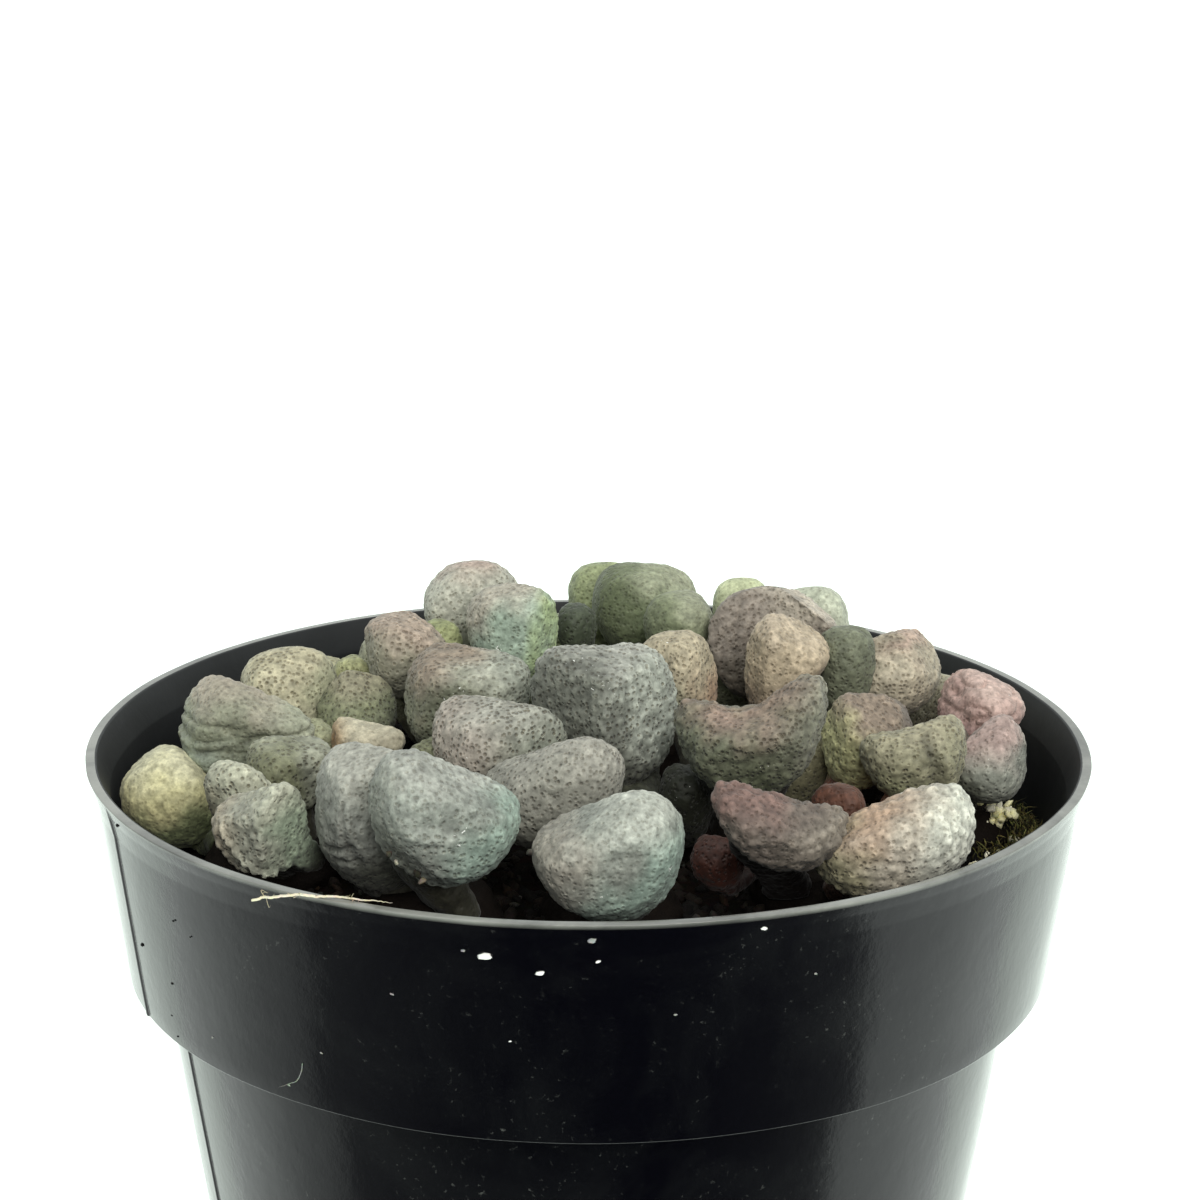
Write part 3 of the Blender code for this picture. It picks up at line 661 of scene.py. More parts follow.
def leaf(form, skin, *zones, stalk="#3a382e", dots=0.6, warts=1.0, marks=(), wrinkles=None,
         glints=((0.0, 0.6, 1.5),), facets=(), pushes=(), seen=True):
    """One leaf of a head: its form, as in the CAD, and its looks.

    skin is its main colour, and each zone is (colour, way, threshold): the colour shows beyond the
    threshold along the way, in half leaf sizes. Zones hold the leaf's own tints and also painted light and
    shade: colours darker on its low or shaded side, paler on its top or lit side. wrinkles are (rise, level
    size, upright size, way, threshold). A facet is (way, offset): the leaf is pressed flat beyond the offset,
    in half leaf sizes.
    A push is (place, reach, shift): the skin round the place, in half leaf sizes from the leaf's
    middle, is shifted by so many mm, less and less out to the reach. Each glint is a patch of painted
    highlights, tiny sparks of light painted near white where wet warts would shine: side and run, as a
    mark's, and its size in mm.
    seen is False for a leaf that the photograph hides, which gets a coarser grid.
    """
    return dict(form=form, skin=skin, zones=zones, stalk=stalk, dots=dots, warts=warts, marks=marks,
                wrinkles=wrinkles, glints=glints, facets=facets, pushes=pushes, seen=seen)


def grown_leaf(looks, seed):
    """A leaf's points, faces, colours, dot and spark strengths, with its relief laid on its form."""
    form = looks["form"]
    width, length = form[6], form[7]
    points, end, run, half_width, face, middle = club(form, FINE_CELL if looks["seen"] else COARSE_CELL)
    for way, offset in looks["facets"]:
        way = unit(np.asarray(way, dtype=float))
        press = offset * 0.5 * max(width, length)
        points = points - soft_excess((points - middle) @ way - press)[..., None] * way
        end = end - soft_excess((end - middle) @ way - press) * way
    for place, reach, shift in looks["pushes"]:
        centre = middle + 0.5 * max(width, length) * np.array(place)
        near = np.exp(-(np.linalg.norm(points - centre, axis=-1) / reach) ** 2)
        points = points + near[..., None] * shift
        end = end + np.exp(-(np.linalg.norm(end - centre) / reach) ** 2) * np.array(shift)
    ways = outward_ways(points)
    offset = (points - middle) / (0.5 * max(width, length))
    lumps = lattice_noise(points, 2.9, seed) + 0.5 * lattice_noise(points, 1.4, seed + 1)
    beads = bead_distance(points, WART_SPACING, seed + 2)
    wart = np.clip(1 - (beads / 0.62) ** 2, 0, 1)
    head = smooth_step(run, -0.5, 0.15)[:, None]
    relief = LUMP_RISE * 0.6 * lumps + WART_RISE * looks["warts"] * (0.35 + 0.65 * head) * wart
    drawn = mark_height(looks["marks"], half_width, run, face, length)
    relief += drawn
    if looks["wrinkles"]:
        rise, level_size, upright_size, way, threshold = looks["wrinkles"]
        folds = lattice_noise(points / [level_size, level_size, upright_size], 1.0, seed + 3)
        crease = np.exp(-(folds / 0.16) ** 2)
        relief -= rise * crease * zone_weight(offset, way, threshold, lumps * 0.5)
    stalk_rings = lattice_noise(run[:, None, None] * [0, 0, 14.0] + points * [0.08, 0.08, 0.1], 1.0, seed + 4)
    relief += 0.10 * (1 - head) * stalk_rings
    closing = np.clip((1 - run) / 0.04, 0.25, 1)[:, None]
    points = points + ways * (relief * closing)[..., None]
    end = end + ways[-1].mean(axis=0) * (relief[-1] * closing[-1]).mean()

    colour = np.broadcast_to(linear(looks["skin"]), points.shape).copy()
    # Zones paint the leaf's own tints, and also painted shade on its low or shaded side and painted light on its top
    # or lit side.
    for code, way, threshold in looks["zones"]:
        weight = zone_weight(offset, np.asarray(way), threshold, lumps)[..., None]
        colour += (linear(code) - colour) * weight
    colour += (linear(looks["stalk"]) - colour) * (1 - smooth_step(run, -0.28, 0.10))[:, None, None]
    # Painted light and shade: warts are paler, partly their own colour and partly light on their tops, and the skin
    # between them is darker as painted shade; lumps vary the tone at random.
    colour *= 1 + 0.05 * lumps[..., None] + 0.22 * looks["warts"] * (wart[..., None] - 0.45)
    # Painted shade and light: grooves drawn by marks are painted darker, as the shadow under a lip or in a crease,
    # and keels are painted paler, as light along a ridge.
    colour *= 1 + np.clip(0.9 * drawn, -0.5, 0.4)[..., None]
    dots = looks["dots"] * (0.35 + 0.65 * head) * (1 + 0.35 * lattice_noise(points, 3.5, seed + 5))
    glint = glint_share(looks["glints"], half_width, run, face, length)
    rows, columns = dots.shape
    points = np.concatenate([points.reshape(-1, 3), points[0].mean(axis=0)[None], end[None]])
    colour = np.concatenate([colour.reshape(-1, 3), colour[0, :1], colour[-1, :1]])
    dots = np.concatenate([dots.ravel(), dots[0, :1], dots[-1, :1]])
    glint = np.concatenate([glint.ravel(), glint[0, :1], glint[-1, :1]])
    quads = ring_faces(rows, columns)[:, ::-1]
    caps = np.concatenate([fan_faces(np.arange(columns), rows * columns),
                           fan_faces((rows - 1) * columns + np.arange(columns), rows * columns + 1, True)])
    return points, quads, caps, colour, dots, glint


# Leaf skin: a matt, waxy hide. Under it lie dark water cells, which show as dots 0.3 mm wide and
# 0.7 mm apart. Where its warts would catch the light, tiny sparks are painted near white into its
# colour as painted highlights.
leaf_skin, shader, place = new_material("aloinopsis_leaf_skin", 0.58, 1.45, Sheen_Weight=0.10,
                                        Sheen_Roughness=0.5, Specular_IOR_Level=0.36)
tint = add_node(leaf_skin, "ShaderNodeAttribute", attribute_name="tint").outputs["Color"]
strength = add_node(leaf_skin, "ShaderNodeAttribute", attribute_name="dots").outputs["Fac"]
cells = add_node(leaf_skin, "ShaderNodeTexVoronoi", {"Vector": place, "Scale": 2200.0, "Randomness": 0.9})
dot = add_node(leaf_skin, "ShaderNodeMapRange",
               {"Value": cells.outputs["Distance"], "From Min": 0.08, "From Max": 0.48,
                "To Min": 1.0, "To Max": 0.0}, interpolation_type="SMOOTHSTEP").outputs["Result"]
dot_share = add_node(leaf_skin, "ShaderNodeMath", {0: dot, 1: strength}, operation="MULTIPLY").outputs[0]
speckle = add_node(leaf_skin, "ShaderNodeTexNoise",
                   {"Vector": place, "Scale": 2100.0, "Detail": 3.0, "Roughness": 0.65}).outputs["Fac"]
bloom = add_node(leaf_skin, "ShaderNodeTexNoise",
                 {"Vector": place, "Scale": 330.0, "Detail": 4.0, "Roughness": 0.6}).outputs["Fac"]
pale = add_node(leaf_skin, "ShaderNodeMapRange",
                {"Value": speckle, "From Min": 0.32, "From Max": 0.72, "To Min": 0.72, "To Max": 1.30}).outputs["Result"]
cloud = add_node(leaf_skin, "ShaderNodeMapRange",
                 {"Value": bloom, "From Min": 0.3, "From Max": 0.7, "To Min": 0.86, "To Max": 1.14}).outputs["Result"]
grit = add_node(leaf_skin, "ShaderNodeTexNoise",
                {"Vector": place, "Scale": 950.0, "Detail": 2.0, "Roughness": 0.5}).outputs["Fac"]
grey = add_node(leaf_skin, "ShaderNodeMapRange",
                {"Value": grit, "From Min": 0.3, "From Max": 0.7, "To Min": 0.80, "To Max": 1.20}).outputs["Result"]
patchy = add_node(leaf_skin, "ShaderNodeMath", {0: pale, 1: cloud}, operation="MULTIPLY").outputs[0]
patchy = add_node(leaf_skin, "ShaderNodeMath", {0: patchy, 1: grey}, operation="MULTIPLY").outputs[0]
colour = mix_colour(leaf_skin, 1.0, tint, patchy, "MULTIPLY")
dark = mix_colour(leaf_skin, 1.0, colour, linear("#c2baae"), "MULTIPLY")
colour = mix_colour(leaf_skin, dot_share, colour, dark)
# Painted highlights: inside the glint patches, noise above a limit turns the colour near white, as sparks of light on
# the warts.
glint = add_node(leaf_skin, "ShaderNodeAttribute", attribute_name="glint").outputs["Fac"]
spark_noise = add_node(leaf_skin, "ShaderNodeTexNoise",
                  {"Vector": place, "Scale": 1700.0, "Detail": 2.0, "Distortion": 1.4}).outputs["Fac"]
limit = add_node(leaf_skin, "ShaderNodeMapRange", {"Value": glint, "To Min": 0.80, "To Max": 0.655}).outputs["Result"]
above = add_node(leaf_skin, "ShaderNodeMath", {0: spark_noise, 1: limit}, operation="SUBTRACT").outputs[0]
spark = add_node(leaf_skin, "ShaderNodeMath", {0: above, 1: 40.0}, operation="MULTIPLY", use_clamp=True).outputs[0]
colour = mix_colour(leaf_skin, spark, colour, linear("#f4f6f0"))
wire(leaf_skin, colour, shader, "Base Color")
raised = add_node(leaf_skin, "ShaderNodeMath", {0: dot_share, 1: grit}, operation="SUBTRACT").outputs[0]
bump = add_node(leaf_skin, "ShaderNodeBump", {"Height": raised, "Strength": 0.75, "Distance": 0.00028},
                invert=True)
wire(leaf_skin, bump.outputs["Normal"], shader, "Normal")

# Stem bark: short, woody and grey brown, ringed by the scars and dry papery rests of old leaves. Its
# colour is painted near black, well below the bark's own grey brown, as painted shade under the leaves.
stem_bark, shader, place = new_material("stem_bark_dry", 0.85, 1.45, Specular_IOR_Level=0.15)
fibre = add_node(stem_bark, "ShaderNodeTexNoise", {"Vector": place, "Scale": 900.0, "Detail": 6.0, "Roughness": 0.7})
colour = mix_colour(stem_bark, fibre.outputs["Fac"], linear("#080605"), linear("#1f1813"))
wire(stem_bark, colour, shader, "Base Color")
bump = add_node(stem_bark, "ShaderNodeBump", {"Height": fibre.outputs["Fac"], "Strength": 0.8, "Distance": 0.0003})
wire(stem_bark, bump.outputs["Normal"], shader, "Normal")


def grow_head(node, stem, leaves, seed):
    """One head: its leaves in one piece, which stands for the CAD node, on a bark-covered stem."""
    points, faces, colours, dots, glints = [], [], [], [], []
    start = 0
    for i, looks in enumerate(leaves):
        leaf_points, quads, caps, colour, dot, glint = grown_leaf(looks, seed + 10 * i)
        points.append(leaf_points)
        colours.append(colour)
        dots.append(dot)
        glints.append(glint)
        faces += (quads + start).tolist() + (caps + start).tolist()
        start += len(leaf_points)
    piece = add_piece(f"{node}_leaves", np.concatenate(points), faces, leaf_skin)
    paint(piece, "tint", np.concatenate(colours))
    paint(piece, "dots", np.concatenate(dots))
    paint(piece, "glint", np.concatenate(glints))
    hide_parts(node)

    profile = filled(np.array([
        (0.75 * STEM_RADIUS, STEM_RISE), (STEM_RADIUS, 0.3 * STEM_RISE), (STEM_RADIUS, -0.3 * STEM_DEPTH),
        (0.5 * STEM_RADIUS, -STEM_DEPTH)]), 0.4) + [0, SOIL_TOP]
    bark = turned_points(profile, np.linspace(0, math.tau, 72, endpoint=False))
    around = unit(bark * [1, 1, 0])
    bark = bark + [stem[0], stem[1], 0]
    bark += around * (0.30 * lattice_noise(bark * [1, 1, 2.2], 1.3, seed + 90))[..., None]
    rows, columns = bark.shape[:2]
    caps = [(stem[0], stem[1], SOIL_TOP + STEM_RISE), (stem[0], stem[1], SOIL_TOP - STEM_DEPTH)]
    bark_faces = (ring_faces(rows, columns)[:, ::-1].tolist()
                  + fan_faces(np.arange(columns), rows * columns).tolist()
                  + fan_faces((rows - 1) * columns + np.arange(columns), rows * columns + 1, True).tolist())
    stump = add_piece(f"{node}_stem", np.concatenate([bark.reshape(-1, 3), caps]), bark_faces, stem_bark)
    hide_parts(node)


# Front head: three big grey leaves in the middle. The rear one is bumpy, painted dark as shade on its
# left and low down and pale as light down its right side, and the front one is pale blue-green with
# many sparks painted as highlights and a lip over its stalk.
grow_head("head_front", (2, -19), [
    leaf((1.6, -30.0, 10.5, 270, 32, 18, 12.4, 9.6, 10.0, 1.2, 2, -24), "#8f938a",
         ("#989489", LEFT, 0.30), ("#8fa195", (0.6, 0, -0.8), 0.25), ("#b2b5ab", UP, 0.55), dots=0.35,
         glints=((-0.3, 0.45, 1.8), (-0.1, 0.55, 1.5), (0.75, 0.45, 0.9)),
         marks=((-0.9, 0.10, 0.9, 0.10, 0.80, 0.30), (-0.9, -0.07, 0.9, -0.07, 0.45, -0.40)),
         facets=(((-0.55, -0.1, 0.83), 0.62), ((0.1, -1, -0.1), 0.80))),
    leaf((-3.0, -18.0, 11.4, 262, 35, 27, 12.8, 8.2, 8.8, 1.5, 0, -18), "#8d8c82",
         ("#9d9b91", UP, 0.45), ("#74746a", DOWN, 0.35), dots=0.7,
         facets=(((-0.5, 0, 0.87), 0.60), ((0, -1, 0), 0.70))),
    leaf((1.5, -4.5, 14.0, 275, 15, 14, 12.8, 12.0, 11.0, 1.5, 3, -14), "#6c6e65",
         ("#a4a99e", RIGHT, 0.28), ("#a9aaa1", UP, 0.78), ("#54564d", DOWN, 0.40), dots=0.9, warts=1.8,
         stalk="#44463a", glints=((-0.1, 0.55, 1.6), (0.0, 0.93, 2.6)),
         facets=(((-0.62, -0.76, 0.1), 0.72), ((0.62, -0.75, 0.2), 0.70), ((0, -0.25, 0.97), 0.84)),
         pushes=(((-0.65, -0.2, 0.70), 3.5, (-0.6, 0, 1.1)),)),
    # Painted shade: this hidden young leaf is painted dark, below its own colour, as the shade under the big leaves.
    leaf((4.4, -19.6, 8.4, 40, 6, 0, 5.2, 5.6, 4.4, 0.4, 3.4, -19.4), "#44463c", dots=0.5, seen=False),
], 100)

# Front left head: three grey leaves with fine dark dots. The left one has a fold, darkened as painted
# shade, and the front one lies over to the right and has a lip over its stalk.
grow_head("head_front_left", (-13, -21), [
    leaf((-18.3, -22.8, 11.0, 224, 20, -8, 10.4, 13.0, 8.0, 1.5, -15, -20), "#8c8e86",
         ("#a4a49a", UP, 0.45), ("#54564d", DOWN, 0.45), dots=0.45,
         marks=((-0.15, 0.44, 0.45, 0.50, 0.30, -0.50), (0.0, 0.36, 0.5, 0.38, 0.22, -0.30),
                (-0.4, 0.62, 0.1, 0.58, 0.35, -0.20), (0.3, 0.80, 0.5, 0.35, 0.45, -0.35)),
         facets=(((-0.9, -0.4, 0.1), 0.62), ((-0.3, -0.3, 0.9), 0.84), ((0.35, -0.9, 0.2), 0.58)),
         pushes=(((0.45, -0.1, 0.75), 4.0, (2.2, 0, 0.2)),)),
    leaf((-11.7, -29.5, 13.0, 270, 30, -24, 12.2, 10.0, 9.5, 1.5, -11, -25), "#888c84",
         ("#8fa094", (0.85, 0, -0.5), 0.30), ("#9b9d95", UP, 0.50), ("#787b71", (-0.9, 0, -0.4), 0.45),
         dots=0.6, warts=1.3, stalk="#35342a", glints=((0.1, 0.80, 1.4), (0.35, 0.45, 1.2)),
         marks=((-0.65, 0.62, 0.05, 0.78, 0.45, 0.30), (-0.9, 0.08, 0.9, 0.08, 0.80, 0.30),
                (-0.9, -0.10, 0.9, -0.10, 0.45, -0.40)),
         facets=(((0.5, -0.2, 0.84), 0.68), ((0.15, -0.98, -0.05), 0.74), ((-0.6, -0.5, -0.6), 0.78)),
         pushes=(((-0.5, -0.1, 0.6), 3.0, (-0.3, 0, 0.8)),)),
    leaf((-8.0, -9.3, 12.4, 248, 25, -5, 12.2, 8.8, 9.0, 1.5, -11, -17), "#908e83",
         ("#a89f94", LEFT, 0.25), ("#8f9386", (0.8, 0, -0.5), 0.25), ("#a0a197", UP, 0.60), dots=1.1,
         facets=(((-0.1, -0.2, 0.97), 0.70), ((-0.8, -0.5, 0.2), 0.84), ((0.5, -0.8, 0.1), 0.70))),
    # Painted shade: this hidden young leaf is painted dark, below its own colour, as the shade under the big leaves.
    leaf((-12.6, -20.2, 8.8, 95, 6, 0, 5.6, 6.2, 4.6, 0.4, -12.8, -20.6), "#4c4f43", dots=0.5, seen=False),
], 300)

# Left head: yellowish green leaves against the pot's wall. The biggest is creased across, with a
# pinkish top, and the lowest has a keel, painted pale along its ridge as light.
grow_head("head_left", (-28, -9), [
    leaf((-36.9, -4.0, 5.8, 195, 35, 5, 9.0, 8.6, 8.2, 0.5, -32, -8), "#c0bb8e",
         ("#c6c3a4", UP, 0.45), ("#7f8864", (0.3, 0, -0.95), 0.20), dots=0.25, stalk="#525841",
         glints=((0.2, 0.5, 0.6),), facets=(((-0.1, -0.6, 0.8), 0.85),)),
    leaf((-31.0, -0.5, 10.6, 242, 32, 2, 13.0, 10.2, 9.0, 1.5, -28, -6), "#858975",
         ("#a1998a", (0.2, 0, 0.98), 0.42), ("#929b8d", (-0.2, 0, -0.98), 0.25), ("#9c9f8b", RIGHT, 0.55),
         dots=0.4, wrinkles=(0.45, 3.4, 0.9, DOWN, -0.45), glints=((0.4, 0.5, 0.7),),
         marks=((-0.7, 0.68, 0.7, 0.74, 0.35, -0.30), (-0.6, 0.46, 0.5, 0.38, 0.3, -0.30)),
         facets=(((-0.66, -0.2, 0.72), 0.70), ((0.35, -0.3, 0.88), 0.64), ((0, -1, -0.1), 0.62)),
         pushes=(((-0.6, 0, 0.7), 3.5, (-0.9, 0, 0.9)),)),
    leaf((-26.0, -9.0, 10.0, 280, 15, 0, 7.6, 6.0, 7.5, 1.0, -25, -9), "#76785f",
         ("#86887a", RIGHT, 0.30), ("#989a88", UP, 0.55), dots=0.8, glints=((0.5, 0.7, 0.8),),
         facets=(((0.2, -0.2, 0.95), 0.70), ((0.6, -0.8, 0), 0.72))),
    leaf((-29.8, -13.5, 8.8, 235, 35, 4, 5.8, 7.6, 5.5, 0.5, -28, -11), "#b3b4a0",
         ("#807a66", (-0.4, 0, -0.9), -0.02), dots=0.8, glints=(), facets=(((-0.4, -0.9, -0.1), 0.62),)),
    leaf((-27.2, -22.6, 9.6, 243, 45, 32, 8.8, 8.2, 6.8, 1.0, -27, -13), "#a0a192",
         ("#8f9c87", RIGHT, 0.25), ("#a39b89", LEFT, 0.35), ("#b0b19f", UP, 0.55), dots=0.55, warts=1.5,
         stalk="#26271d", glints=((-0.3, 0.5, 1.2),), marks=((-0.20, 0.95, 0.20, 0.20, 0.24, 0.50),),
         facets=(((-0.55, -0.8, -0.1), 0.58), ((0.75, -0.65, 0), 0.52), ((-0.5, -0.25, 0.83), 0.58)),
         pushes=(((0.6, 0, 0.7), 2.8, (0.7, 0, 1.1)),)),
    leaf((-33.5, 7.4, 6.0, 160, 20, 0, 6.0, 8.0, 5.5, 0.8, -31, -5), "#a3a382", seen=False),
    leaf((-19.2, -9.8, 6.5, 350, 12, 0, 7.2, 8.0, 6.6, 0.8, -24, -9), "#6c6d55", seen=False),
], 500)

# Rear left head: pale beige leaves with scattered dots, and a tan one with an orange end.
grow_head("head_rear_left", (-21, 8), [
    leaf((-28.0, 10.5, 10.5, 130, 12, 0, 9.0, 9.0, 8.5, 1.0, -24, 9), "#b4b097",
         ("#b3ad92", UP, 0.35), ("#9a9b82", RIGHT, 0.55), dots=0.75, warts=0.6, glints=(),
         facets=(((0, -0.5, 0.85), 0.85), ((0, -1, 0), 0.80))),
    leaf((-21.6, 8.4, 9.5, 290, 18, -5, 7.4, 8.0, 7.0, 1.0, -20, 8), "#7a7e63",
         ("#585c4b", (0.6, 0, -0.6), 0.30), ("#918d77", UP, 0.55), dots=0.85, glints=((0.3, 0.5, 0.8),),
         facets=(((0.5, -0.5, 0.7), 0.62), ((-0.5, -0.5, 0.7), 0.68)),
         pushes=(((-0.1, 0, 0.9), 1.8, (-0.3, 0, 0.6)),)),
    leaf((-20.3, 0.0, 9.2, 240, 50, 0, 7.4, 5.6, 6.0, 1.0, -21, 5), "#b6af99",
         ("#a2825c", LEFT, 0.42), ("#bdb8a2", UP, 0.45), dots=0.3, glints=(),
         facets=(((-1, -0.3, 0), 0.78), ((0, -0.3, 0.95), 0.60), ((0, -1, -0.1), 0.70))),
    leaf((-26.5, 20.5, 6.5, 135, 35, 0, 9.5, 8.5, 8.0, 1.0, -22, 11), "#a6a486", seen=False),
    leaf((-22.2, 15.2, 9.8, 200, 5, 0, 4.2, 6.0, 4.0, 0.4, -20, 11), "#9a9c74"),
    leaf((-14.6, -3.8, 7.0, 330, 12, 0, 6.0, 8.0, 4.8, 0.8, -18, 6), "#787a5f", seen=False),
    leaf((-24.8, 4.6, 6.5, 200, 10, 0, 5.5, 6.5, 4.8, 0.5, -23, 7), "#989a7c", seen=False),
    leaf((-33.6, 15.4, 5.5, 150, 10, 0, 6.5, 7.0, 5.5, 0.8, -25, 10), "#9d9d80", seen=False),
], 700)

# Middle left head: green-grey leaves with pinkish brown tops. The tallest is blue-green in its
# middle and bright yellow-green down its right side.
grow_head("head_middle_left", (-9, 13), [
    leaf((-11.5, 3.5, 12.5, 235, 15, -3, 11.2, 9.6, 10.0, 1.5, -11, 9), "#727563",
         ("#b1b1a3", (0.35, 0, 0.94), 0.42), ("#9da194", RIGHT, 0.40), ("#8c7f70", (-0.5, 0, 0.8), 0.55),
         dots=0.8, stalk="#484c37", glints=((0.35, 0.80, 1.5), (0.65, 0.70, 1.2)),
         facets=(((0.25, -0.3, 0.92), 0.68), ((-0.8, -0.5, 0.2), 0.92), ((0, -1, -0.1), 0.78)),
         pushes=(((0.8, -0.1, 0.4), 4.0, (0.8, 0, 1.3)),)),
    leaf((-17.0, 14.0, 14.0, 215, 15, 8, 7.8, 8.0, 8.0, 1.2, -13, 13), "#928f7e",
         ("#a39485", UP, 0.35), ("#8a897b", DOWN, 0.45), dots=0.7, glints=(),
         facets=(((0.6, -0.3, 0.74), 0.82), ((-0.9, -0.3, 0.1), 0.95), ((-0.1, 0, 1), 0.80)),
         pushes=(((-0.6, 0, 0.6), 3.0, (-0.7, 0, 0.2)),)),
    leaf((-11.5, 26.5, 14.7, 110, 10, 0, 10.0, 8.8, 8.5, 1.2, -10, 16), "#b4b4a6",
         ("#b09e92", UP, 0.75), ("#989a88", DOWN, 0.40), dots=0.65, warts=0.7, glints=(),
         facets=(((-0.7, -0.2, 0.68), 0.92), ((0.75, -0.2, 0.6), 0.95))),
    leaf((-7.1, 17.0, 15.3, 245, 8, 4, 9.4, 8.4, 8.0, 0.5, -8, 14), "#a2b3a2",
         ("#b3c684", (0.95, 0, -0.1), 0.55), ("#a8a395", (-0.6, 0, 0.8), 0.38), dots=0.5,
         glints=((0.0, 0.45, 0.8),),
         facets=(((-0.8, -0.6, 0.1), 0.88), ((0, -1, 0), 0.76), ((0.85, -0.5, 0), 0.80),
                 ((-0.1, -0.3, 0.95), 0.82))),
    leaf((-18.5, 28.5, 8.0, 125, 28, 0, 9.0, 8.0, 7.0, 1.0, -13, 16), "#a3a48d", seen=False),
    leaf((-14.2, 20.2, 12.0, 235, 5, 0, 4.0, 6.0, 3.6, 0.4, -12, 15), "#93996f"),
    leaf((-2.0, 6.5, 10.0, 300, 15, 0, 9.0, 9.5, 8.5, 1.0, -6, 10), "#70765f", seen=False),
    leaf((-17.4, 20.4, 8.0, 150, 15, 0, 5.0, 7.0, 4.6, 0.5, -13, 15), "#9a9b84", seen=False),
    leaf((-8.6, 11.4, 8.8, 60, 5, 0, 5.2, 6.0, 4.4, 0.4, -8.8, 12), "#6c7058", seen=False),
], 900)

# Rear head: smooth green leaves, the darkest of the clump's greens in its shade.
grow_head("head_rear", (5, 23), [
    leaf((-1.2, 20.0, 14.2, 250, 10, 0, 3.6, 5.0, 4.0, 0.5, 2, 21), "#414838", glints=()),
    leaf((1.4, 34.0, 13.2, 110, 15, 0, 6.8, 7.5, 7.0, 0.8, 4, 27), "#97a079", dots=0.4, warts=0.6, glints=()),
    leaf((5.5, 26.5, 14.8, 260, 8, 0, 10.4, 8.2, 9.0, 1.0, 5, 24), "#6f785a",
         ("#a0a48c", (0.3, 0, 0.95), 0.62), ("#5c6449", LEFT, 0.45), dots=0.45, warts=0.6, glints=(),
         facets=(((-0.3, -0.9, 0.3), 0.85), ((0.6, -0.5, 0.6), 0.80))),
    leaf((8.6, 19.0, 15.0, 300, 10, 0, 6.4, 6.5, 6.5, 0.8, 7, 21), "#757c61",
         ("#949880", (0.6, 0, 0.6), 0.45), dots=0.35, warts=0.6, glints=((0.2, 0.5, 0.8),)),
    leaf((-6.5, 34.0, 8.0, 105, 30, 0, 8.5, 8.5, 7.5, 1.0, 2, 26), "#8d9575", seen=False),
    leaf((8.5, 35.5, 8.0, 80, 25, 0, 8.6, 8.5, 7.5, 1.0, 6, 27), "#8d9575", seen=False),
    leaf((-3.0, 27.0, 9.5, 165, 10, 0, 6.5, 8.0, 6.5, 0.8, 1, 23), "#858c6c", seen=False),
    leaf((4.5, 12.0, 9.5, 265, 15, 0, 7.5, 9.0, 7.0, 0.8, 5, 19), "#6a7153", seen=False),
], 1100)

# Middle right head: a big cupped leaf, green outside and red-brown on top, painted darker low on its
# outside as shade and paler on top as light, a mauve brown one of two lobes behind it, and two tan ones.
grow_head("head_middle_right", (12, 0), [
    leaf((14.0, -13.0, 14.5, 270, 42, 16, 13.0, 8.6, 9.0, 3.2, 13, -4), "#626553",
         ("#8a776b", (-0.1, -0.1, 0.98), 0.40), ("#444836", DOWN, 0.45), ("#7d7c6e", RIGHT, 0.60),
         dots=0.75, warts=1.8, stalk="#241f17",
         glints=((-0.35, 0.60, 1.0), (0.0, 0.55, 1.2), (0.35, 0.70, 1.0)),
         facets=(((-0.15, -0.45, 0.88), 0.50), ((0, -0.95, -0.3), 0.62)),
         pushes=(((0.78, -0.1, 0.45), 2.8, (0.1, 0.3, 1.5)), ((-0.05, -0.1, 0.5), 2.6, (0, 0, -0.7)))),
    leaf((18.0, 16.0, 14.5, 80, 8, -8, 12.6, 10.5, 7.5, 4.2, 13, 4), "#8a8177",
         ("#c4bbab", (0.5, 0, 0.85), 0.62), ("#645d54", DOWN, 0.30), dots=0.55, warts=1.3, glints=(),
         marks=((-0.05, 1.0, -0.05, 0.2, 1.1, -0.7),),
         facets=(((-0.3, -0.9, 0.2), 0.62), ((0.5, 0, 0.87), 0.74))),
    leaf((18.0, 7.0, 15.0, 275, 8, -14, 7.4, 9.5, 7.0, 0.8, 15, 2), "#b3a48c",
         ("#b9ab97", UP, 0.55), ("#8d7d6b", (0.2, 0, -0.95), 0.40), dots=0.55, warts=1.0, stalk="#7d6c55",
         glints=((0.3, 0.85, 1.0),),
         facets=(((0.55, -0.4, 0.73), 0.62), ((-0.9, -0.4, 0), 0.70), ((0.1, -1, 0), 0.66)),
         pushes=(((0.75, -0.2, 0.3), 2.4, (0.7, 0, 0.2)), ((0.8, 0, -0.6), 2.6, (-1.0, 0, 0)))),
    leaf((8.5, 5.5, 14.0, 250, 10, 8, 6.6, 8.6, 7.0, 0.8, 10, 2), "#b1a78f",
         ("#8a8f79", (-0.5, 0, -0.85), 0.35), ("#ac9078", (0.8, 0, -0.3), 0.45), dots=0.65, warts=0.9,
         glints=((0.0, 0.95, 1.0),), facets=(((-0.7, -0.6, 0.3), 0.80), ((0.8, -0.5, 0.2), 0.72)),
         pushes=(((-0.8, 0, 0.5), 2.5, (-1.0, 0, 0.1)), ((-0.8, 0, -0.7), 2.6, (0.8, 0, 0)))),
    # Painted shade: this low leaf under the cupped leaf is painted near black, below its own green, as the shade it
    # sits in.
    leaf((8.6, -8.4, 7.0, 260, 20, 0, 4.8, 7.0, 4.6, 0.5, 10, -4), "#24261c", stalk="#181912", glints=()),
    leaf((19.0, 0.8, 7.0, 10, 20, 0, 7.0, 8.0, 6.0, 0.8, 16, 0), "#6a6750", seen=False),
    leaf((12.2, -1.2, 8.6, 250, 5, 0, 4.8, 5.8, 4.2, 0.4, 12.2, -0.9), "#4a3a2e", seen=False),
], 1300)

